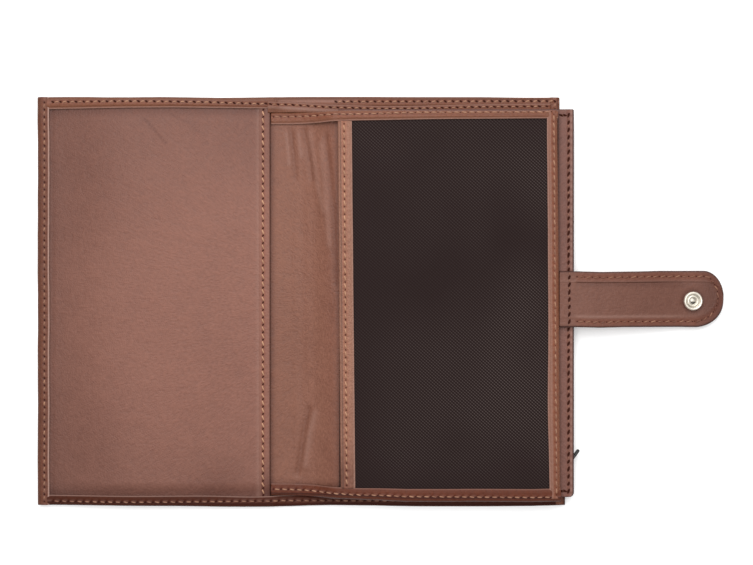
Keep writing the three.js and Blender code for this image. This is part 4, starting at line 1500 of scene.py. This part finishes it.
def makePull():
    # an eye round the slider's pin and a blade on edge with a soft round end, along the pull as it lies
    length = zipper["pullLength"]
    start = zipper["pinReach"]
    angle = math.radians(zipper["pullAngle"])
    middle = (pullLow[2] + pullHigh[2]) / 2
    high = (pullHigh[2] - pullLow[2]) / 2
    steps = stations(start, 0.12, 2.6, 0.35, length - 1.2, 0.1, length)
    sides = 28
    rings = []
    for s in steps:
        grow = smooth(np.array((s - start) / 0.9))
        end = max(0.0, (s - (length - 1.0)) / 1.0)
        taper = math.sqrt(max(0.0, 1 - end ** 2)) * 0.97 + 0.03
        halfThick = 0.8 * taper * (0.85 + 0.15 * grow) * (0.9 + 0.1 * s / length)
        halfHigh = (0.45 + (high - 0.45) * grow) * (0.6 * taper + 0.4)
        ring = []
        for k in range(sides):
            a = 2 * math.pi * k / sides
            c, d = math.cos(a), math.sin(a)
            w = halfThick * math.copysign(abs(c) ** 0.7, c)
            h = halfHigh * math.copysign(abs(d) ** 0.55, d)
            x = hingeX + s * math.cos(angle) - w * math.sin(angle)
            y = hingeY + s * math.sin(angle) + w * math.cos(angle)
            ring.append((x, y, middle + h))
        rings.append(ring)
    blade = sweep("pullBlade", rings, None, pullBlack)
    eye = []
    for k in range(40):
        a = 2 * math.pi * k / 40
        ring = []
        for j in range(12):
            b = 2 * math.pi * j / 12
            r = 1.17 + 0.42 * math.cos(b)
            ring.append((hingeX + r * math.cos(a), hingeY + r * math.sin(a), middle + 0.24 * math.sin(b)))
        eye.append(ring)
    loop = sweep("pullEye", eye, None, pullBlack, closed=True)
    return joinPieces("zipPull", [blade, loop])


def makeTape(name, node, upward):
    # flat against the pouch's leather, with its front edge bent towards the coil
    low, high = cornersOf(node)
    thick = zipper["tape"]
    flat = high[2] if upward > 0 else low[2]
    lip = low[2] if upward > 0 else high[2]
    bend = zipper["tapeBend"]
    back = low[0]
    front = high[0]
    turn = np.linspace(0, math.pi / 2, 5)
    outline = [(back, flat)]
    outline += [(front - bend + bend * math.sin(a), flat - upward * bend * (1 - math.cos(a))) for a in turn]
    under = flat - upward * thick
    outline += [(front, lip), (front - thick, lip), (front - thick, under), (back, under)]
    rings = []
    for y in stations(low[1], 1.5, high[1]):
        ripple = 0.05 * wave(np.array(y), np.array(0.0), 9, 71)
        rings.append([(x + (ripple if x > back + 1 else 0), y, z) for x, z in outline])
    return setOutward(sweep(name, rings, None, zipTape))


coilPiece = makeCoil()
pullPiece = makePull()
tapeUpper = makeTape("zipTapeUpper", "zip_tape_upper", 1)
tapeLower = makeTape("zipTapeLower", "zip_tape_lower", -1)
slider = frame["nodes"]["zip_slider"]
slider.data.materials.clear()
slider.data.materials.append(zipBlack)
bevel = slider.modifiers.new("softEdges", "BEVEL")
bevel.width = 0.12 * mm
bevel.segments = 2
bevel.limit_method = "ANGLE"
print("zip made")


# Stitches: short slanted threads that dip into needle holes, laid on whatever surface is under them.
# tone is how light the thread is, set lower on the shaded bottom hems as painted shade; slants are in
# degrees from the row, and lengths are shares of the pitch

stitch = {"hole": 0.62, "holeWidth": 0.4, "crown": 0.2, "dip": 0.34, "sides": 6, "holeSides": 10,
          "lookFrom": 60.0}
sewing = {
    "hem": {"tone": 0.62, "thread": 0.36, "length": 0.5, "slant": 12, "holeSlant": -32, "hole": 1.7},
    "left": {"tone": 0.4, "thread": 0.34, "length": 0.56, "slant": -8, "holeSlant": -22, "hole": 0.9},
    "foot": {"tone": 0.3, "thread": 0.34, "length": 0.6, "slant": -8, "holeSlant": -20, "hole": 0.9},
    "pocket": {"tone": 0.9, "thread": 0.4, "length": 0.72, "slant": 24, "holeSlant": -32, "hole": 1.2},
    "page": {"tone": 0.5, "thread": 0.34, "length": 0.66, "slant": -8, "holeSlant": -18, "hole": 0.7},
    "border": {"tone": 0.5, "thread": 0.34, "length": 0.7, "slant": 8, "holeSlant": -18, "hole": 0.4},
    "binding": {"tone": 0.78, "thread": 0.38, "length": 0.7, "slant": 16, "holeSlant": 22, "hole": 0.7},
    "divider": {"tone": 0.6, "thread": 0.32, "length": 0.5, "slant": 8, "holeSlant": -28, "hole": 1.55},
    "tab": {"tone": 0.3, "thread": 0.28, "length": 0.3, "slant": -12, "holeSlant": -20, "hole": 2.6},
    "under": {"tone": 0.3, "thread": 0.2, "length": 0.3, "slant": -12, "holeSlant": -20, "hole": 1.5,
              "sunk": 0.28},
    "strap": {"tone": 0.24, "thread": 0.36, "length": 0.75, "slant": 18, "holeSlant": 20, "hole": 0.7},
}


def surfaceOf(*pieces):
    vertices = []
    faces = []
    for piece in pieces:
        start = len(vertices)
        vertices.extend(v.co / mm for v in piece.data.vertices)
        faces.extend([start + i for i in p.vertices] for p in piece.data.polygons)
    return BVHTree.FromPolygons(vertices, faces)


def turnedBy(direction, degrees):
    angle = math.radians(degrees)
    x, y = direction
    return x * math.cos(angle) - y * math.sin(angle), x * math.sin(angle) + y * math.cos(angle)


def sewRow(tree, points, side, pitch, style, seed, threads, holes):
    # points: the seam's line in plan; side: 1 on top, -1 underneath
    points = np.asarray(points, float)
    legs = np.linalg.norm(np.diff(points, axis=0), axis=1)
    run = np.concatenate([[0], np.cumsum(legs)])
    count = max(1, round(run[-1] / pitch))
    pitch = run[-1] / count
    rng = np.random.default_rng(seed)

    def at(s):
        return np.array([np.interp(s, run, points[:, 0]), np.interp(s, run, points[:, 1])])

    def heading(s):
        ahead = at(min(s + 0.6, run[-1])) - at(max(s - 0.6, 0))
        return ahead / max(np.linalg.norm(ahead), tiny)

    def surface(xy):
        hit = tree.ray_cast(Vector((xy[0], xy[1], stitch["lookFrom"] * side)), Vector((0, 0, -side)))
        return hit[0].z if hit[0] is not None else None

    for k in range(count + 1):
        here = at(min(k * pitch, run[-1]))
        z = surface(here)
        if z is not None:
            dx, dy = turnedBy(heading(k * pitch), style["holeSlant"] * side + rng.normal(0, 4))
            long = stitch["hole"] * style["hole"] * rng.uniform(0.88, 1.12)
            wide = stitch["holeWidth"] * style["hole"] ** 0.6
            lens = []
            for rim, height in ((1.0, -0.1), (0.8, 0.05), (0.35, 0.06)):
                for j in range(stitch["holeSides"]):
                    a = 2 * math.pi * j / stitch["holeSides"]
                    u = long * rim * math.cos(a)
                    w = wide * rim * math.sin(a)
                    spot = (here[0] + dx * u - dy * w, here[1] + dy * u + dx * w)
                    ground = surface(spot)
                    ground = z if ground is None or abs(ground - z) > 0.6 else ground
                    lens.append((spot[0], spot[1], ground + side * height))
            holes.append(lens)
        middle = at((k + 0.5) * pitch)
        z = surface(middle) if k < count else None
        if z is None:
            continue
        lean = turnedBy(heading((k + 0.5) * pitch), style["slant"] * side + rng.normal(0, 3))
        half = pitch * style["length"] / 2
        ends = [surface(middle + np.array(lean) * half * e) for e in (-1, 1)]
        ends = [z if e is None else e for e in ends]
        z -= side * style.get("sunk", 0.0)
        tone = min(1.0, max(0.0, style["tone"] + rng.normal(0, 0.1)))
        threads.append({"x": middle[0], "y": middle[1], "z": z, "lean": lean, "side": side, "half": half,
                        "thick": style["thread"] * rng.uniform(0.9, 1.1), "rise": (ends[1] - ends[0]) / 2,
                        "tone": tone})


def tubeFaces(start, rings, sides):
    # quads between rings of points that follow each other in the mesh
    faces = []
    for k in range(start, start + (rings - 1) * sides, sides):
        for j in range(sides):
            after = (j + 1) % sides
            faces.append((k + j, k + after, k + after + sides, k + j + sides))
    return faces


def buildThreads(name, threads, holes):
    vertices = []
    faces = []
    tones = []
    places = np.linspace(-1, 1, 9)
    sides = stitch["sides"]
    for item in threads:
        start = len(vertices)
        dx, dy = item["lean"]
        for t in places:
            lift = item["side"] * (stitch["crown"] * (1 - t ** 2) - stitch["dip"] * abs(t) ** 3)
            size = item["thick"] * (0.5 + 0.5 * math.sqrt(max(0.0, 1 - t ** 4)))
            for j in range(sides):
                w = size * math.cos(2 * math.pi * j / sides)
                h = size * 0.8 * math.sin(2 * math.pi * j / sides)
                reach = item["half"] * t
                vertices.append((item["x"] + dx * reach - dy * w, item["y"] + dy * reach + dx * w,
                                 item["z"] + item["rise"] * t + lift + h))
                tones.append(item["tone"])
        faces.extend(tubeFaces(start, len(places), sides))
        faces.append(tuple(range(start + sides - 1, start - 1, -1)))
        faces.append(tuple(range(len(vertices) - sides, len(vertices))))
    rope = setOutward(makeObject(name + "Threads", vertices, faces, {"tone": tones}, thread))
    vertices = []
    faces = []
    sides = stitch["holeSides"]
    for lens in holes:
        start = len(vertices)
        vertices.extend(lens)
        faces.extend(tubeFaces(start, len(lens) // sides, sides))
        faces.append(tuple(range(len(vertices) - sides, len(vertices))))
        faces.append(tuple(range(start + sides - 1, start - 1, -1)))
    return rope, setOutward(makeObject(name + "Holes", vertices, faces, None, needleHole))


def rowX(seam, yAt, lean=None):
    # a seam's line where it runs along X; yAt gives its place across
    xs = np.arange(seam["start"], seam["end"] + 0.01, seam["pitch"] / 2)
    ys = yAt(xs)
    return np.stack([xs + (lean(xs, ys) if lean else 0 * xs), ys], 1)


def rowY(seam, x, lean=None):
    ys = np.arange(seam["start"], seam["end"] + 0.01, seam["pitch"] / 2)
    return np.stack([x + (lean(x, ys) if lean else 0 * ys), ys], 1)


def makeStitches():
    rows = {}

    def sew(group, tree, points, pitch, side=1, style=None):
        threads, holes = rows.setdefault(group, ([], []))
        sewRow(tree, points, side, pitch, sewing[style or group], len(threads) + 7, threads, holes)

    onCover = surfaceOf(coverPanel, coverHem)
    hemPitch, sidePitch = cover["hemPitch"], cover["sidePitch"]
    rightX = coverRight - cover["rightInset"]
    footY = coverFoot + cover["footShift"] + cover["bottomInset"]
    for side in (1, -1):
        for name in ("top", "topRight"):
            line = rowX(coverSeams[name], lambda x: coverTop - valueAt(cover["topInsets"], x), leanOfCover)
            sew("cover", onCover, line, hemPitch, side, "hem")
        line = rowX(coverSeams["foot"], lambda x: footY + 0 * x, leanOfCover)
        sew("cover", onCover, line, hemPitch, side, "foot")
        line = rowY(coverSeams["left"], left + cover["leftShift"] + cover["leftInset"])
        sew("cover", onCover, line, sidePitch, side, "left")
        line = rowY(coverSeams["right"], rightX, leanOfCover)
        sew("cover", onCover, line, sidePitch, side, "left")
    line = rowY(pocketSeam, pocketRight - pocket["seamInset"])
    sew("pocket", surfaceOf(pocketPanel), line, pocket["seamPitch"])
    onPage = surfaceOf(pageHem)
    line = rowX(pageSeams["top"], lambda x: pageTop + page["topRise"] - valueAt(page["topInsets"], x))
    sew("page", onPage, line, page["hemPitch"])
    drops = page["footDrops"]
    line = rowX(pageSeams["foot"], lambda x: pageFoot - valueAt(drops, x) + valueAt(page["footInsets"], x))
    sew("page", onPage, line, page["hemPitch"])
    line = rowY(pageSeams["side"], pageRight - page["sideInset"], leanOfPage)
    sew("page", onPage, line, page["hemPitch"], 1, "border")
    bindX = bindingLow[0] + case["pageLean"] / 2 + mesh["bindingInset"]
    line = rowY(bindingSeam, bindX, lambda x, y: leanOfPage(creaseRight, y))
    sew("binding", surfaceOf(bindingPiece), line, mesh["bindingPitch"])
    line = rowX(dividerSeam, lambda x: dividerTop(x) - pouch["dividerInset"])
    sew("divider", surfaceOf(dividerPanel), line, pouch["dividerPitch"])
    tabX = pouchHigh[0] - pouch["tabSeam"]
    onPouch = surfaceOf(pouchTopPanel, strapOuter, strapFacing)
    for side, style in ((1, "tab"), (-1, "under")):
        sew("tab", onPouch, rowY(tabSeam, tabX), pouch["tabPitch"], side, style)
    for y in (tabSeam["start"], tabSeam["end"]):
        sew("tab", onPouch, [(pageRight + 1.6, y), (tabX - 2.0, y)], pouch["tabPitch"])
    onStrap = surfaceOf(strapOuter, strapFacing)
    inset = strap["seamInset"]
    turn = np.linspace(math.pi / 2, -math.pi / 2, 40)
    reach = strap["tipLength"] - inset
    upper = rowX(strapSeam, lambda x: strapMiddle + strapHalf - inset + valueAt(strap["upperEdge"], x))
    lower = rowX(strapSeam, lambda x: strapMiddle - strapHalf + inset + valueAt(strap["lowerEdge"], x))
    lower = lower[lower[:, 0] < strapTip - strap["tipLower"]]
    spread = np.where(turn > 0, reach, strap["tipLower"] - inset)
    arc = np.stack([strapTip - inset - spread * (1 - np.cos(turn)),
                    strapMiddle + 0.2 + (strapHalf - inset) * np.sin(turn)], 1)
    for side in (1, -1):
        for path in (upper, arc, lower[::-1]):
            sew("strap", onStrap, path, strap["seamPitch"], side)
    made = []
    for group, (threads, holes) in rows.items():
        made.extend(buildThreads(group, threads, holes))
    return made


stitchPieces = makeStitches()
print("stitches made")


# What each piece stands for, with the finish slot listed beside it; each piece rides on the case

standsFor = [
    (coverPanel, "outer_cover", "cover_leather"),
    (coverHem, "outer_cover", "cover_leather"),
    (pocketPanel, "front_pocket", "pocket_leather"),
    (liningPanel, "inner_page", "page_leather"),
    (pageHem, "inner_page", "page_leather"),
    (meshPiece, "mesh_panel", "mesh_fabric"),
    (bindingPiece, "mesh_binding", "binding_leather"),
    (dividerPanel, "divider", "page_leather"),
    (gussetPiece, "pouch_gusset", "page_leather"),
    (pouchTopPanel, "pouch_panel", "pocket_leather"),
    (strapOuter, "strap_outer", "strap_leather"),
    (strapFacing, "strap_facing", "strap_leather"),
    (snapSocket, "snap_socket", "snap_nickel"),
    (snapCap, "snap_cap", "snap_nickel"),
    (closureStud, "closure_stud", "snap_nickel"),
    (coilPiece, "zip_coil", "zip_plastic"),
    (tapeUpper, "zip_tape_upper", "zip_tape"),
    (tapeLower, "zip_tape_lower", "zip_tape"),
]
for piece, node, slot in standsFor:
    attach(piece, "case")
    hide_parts(node)
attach(pullPiece, "pull")
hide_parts("zip_pull")
for piece in stitchPieces:
    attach(piece, "case")

print("pieces placed")


# Pale floor, soft daylight from the top of the picture, camera straight above

studio = {
    "floor": 1.5,
    "floorTone": 0.9,
    "floorGlow": 0.17,
    "camera": (-2.2, 10.1, 600.0),
    "frameWidth": 406.6,
    "sensor": 36.0,
    "sky": 0.54,
    "lights": [
        {"name": "window", "place": (-0.05, 0.75, 0.85), "target": (0, 0, 0), "size": (1.1, 0.8),
         "power": 8.8},
        {"name": "overhead", "place": (-0.12, 0.1, 0.95), "target": (-0.05, 0, 0), "size": (0.7, 0.6),
         "power": 5.0},
    ],
}


def addLight(name, place, target, size, power):
    light = bpy.data.lights.new(name, "AREA")
    light.shape = "RECTANGLE"
    light.size = size[0]
    light.size_y = size[1]
    light.energy = power
    lamp = bpy.data.objects.new(name, light)
    lamp.location = place
    lamp.rotation_euler = (Vector(target) - Vector(place)).to_track_quat("-Z", "Y").to_euler()
    bpy.context.scene.collection.objects.link(lamp)


def makeStudio():
    scene = bpy.context.scene
    half = studio["floor"]
    floorMesh = bpy.data.meshes.new("floor")
    low = coverLow[2] * mm - 0.0002
    corners = [(-half, -half, low), (half, -half, low), (half, half, low), (-half, half, low)]
    floorMesh.from_pydata(corners, [], [(0, 1, 2, 3)])
    floor = bpy.data.objects.new("floor", floorMesh)
    scene.collection.objects.link(floor)
    f = Finish("paleFloor")
    f.set(Base_Color=(studio["floorTone"],) * 3, Roughness=0.9)
    f.set(Emission_Color=(1.0, 1.0, 1.0), Emission_Strength=studio["floorGlow"])
    f.set(Specular_IOR_Level=0.1)
    floorMesh.materials.append(f.material)
    world = bpy.data.worlds.new("sky")
    world.use_nodes = True
    sky = world.node_tree.nodes["Background"]
    sky.inputs["Color"].default_value = (1, 1, 1, 1)
    sky.inputs["Strength"].default_value = studio["sky"]
    scene.world = world
    scene.view_settings.view_transform = "Standard"
    for settings in studio["lights"]:
        addLight(**settings)
    lens = bpy.data.cameras.new("camera")
    lens.sensor_width = studio["sensor"]
    lens.lens = studio["sensor"] * studio["camera"][2] / studio["frameWidth"]
    camera = bpy.data.objects.new("camera", lens)
    camera.location = [v * mm for v in studio["camera"]]
    scene.collection.objects.link(camera)
    scene.camera = camera


makeStudio()
print("studio made")
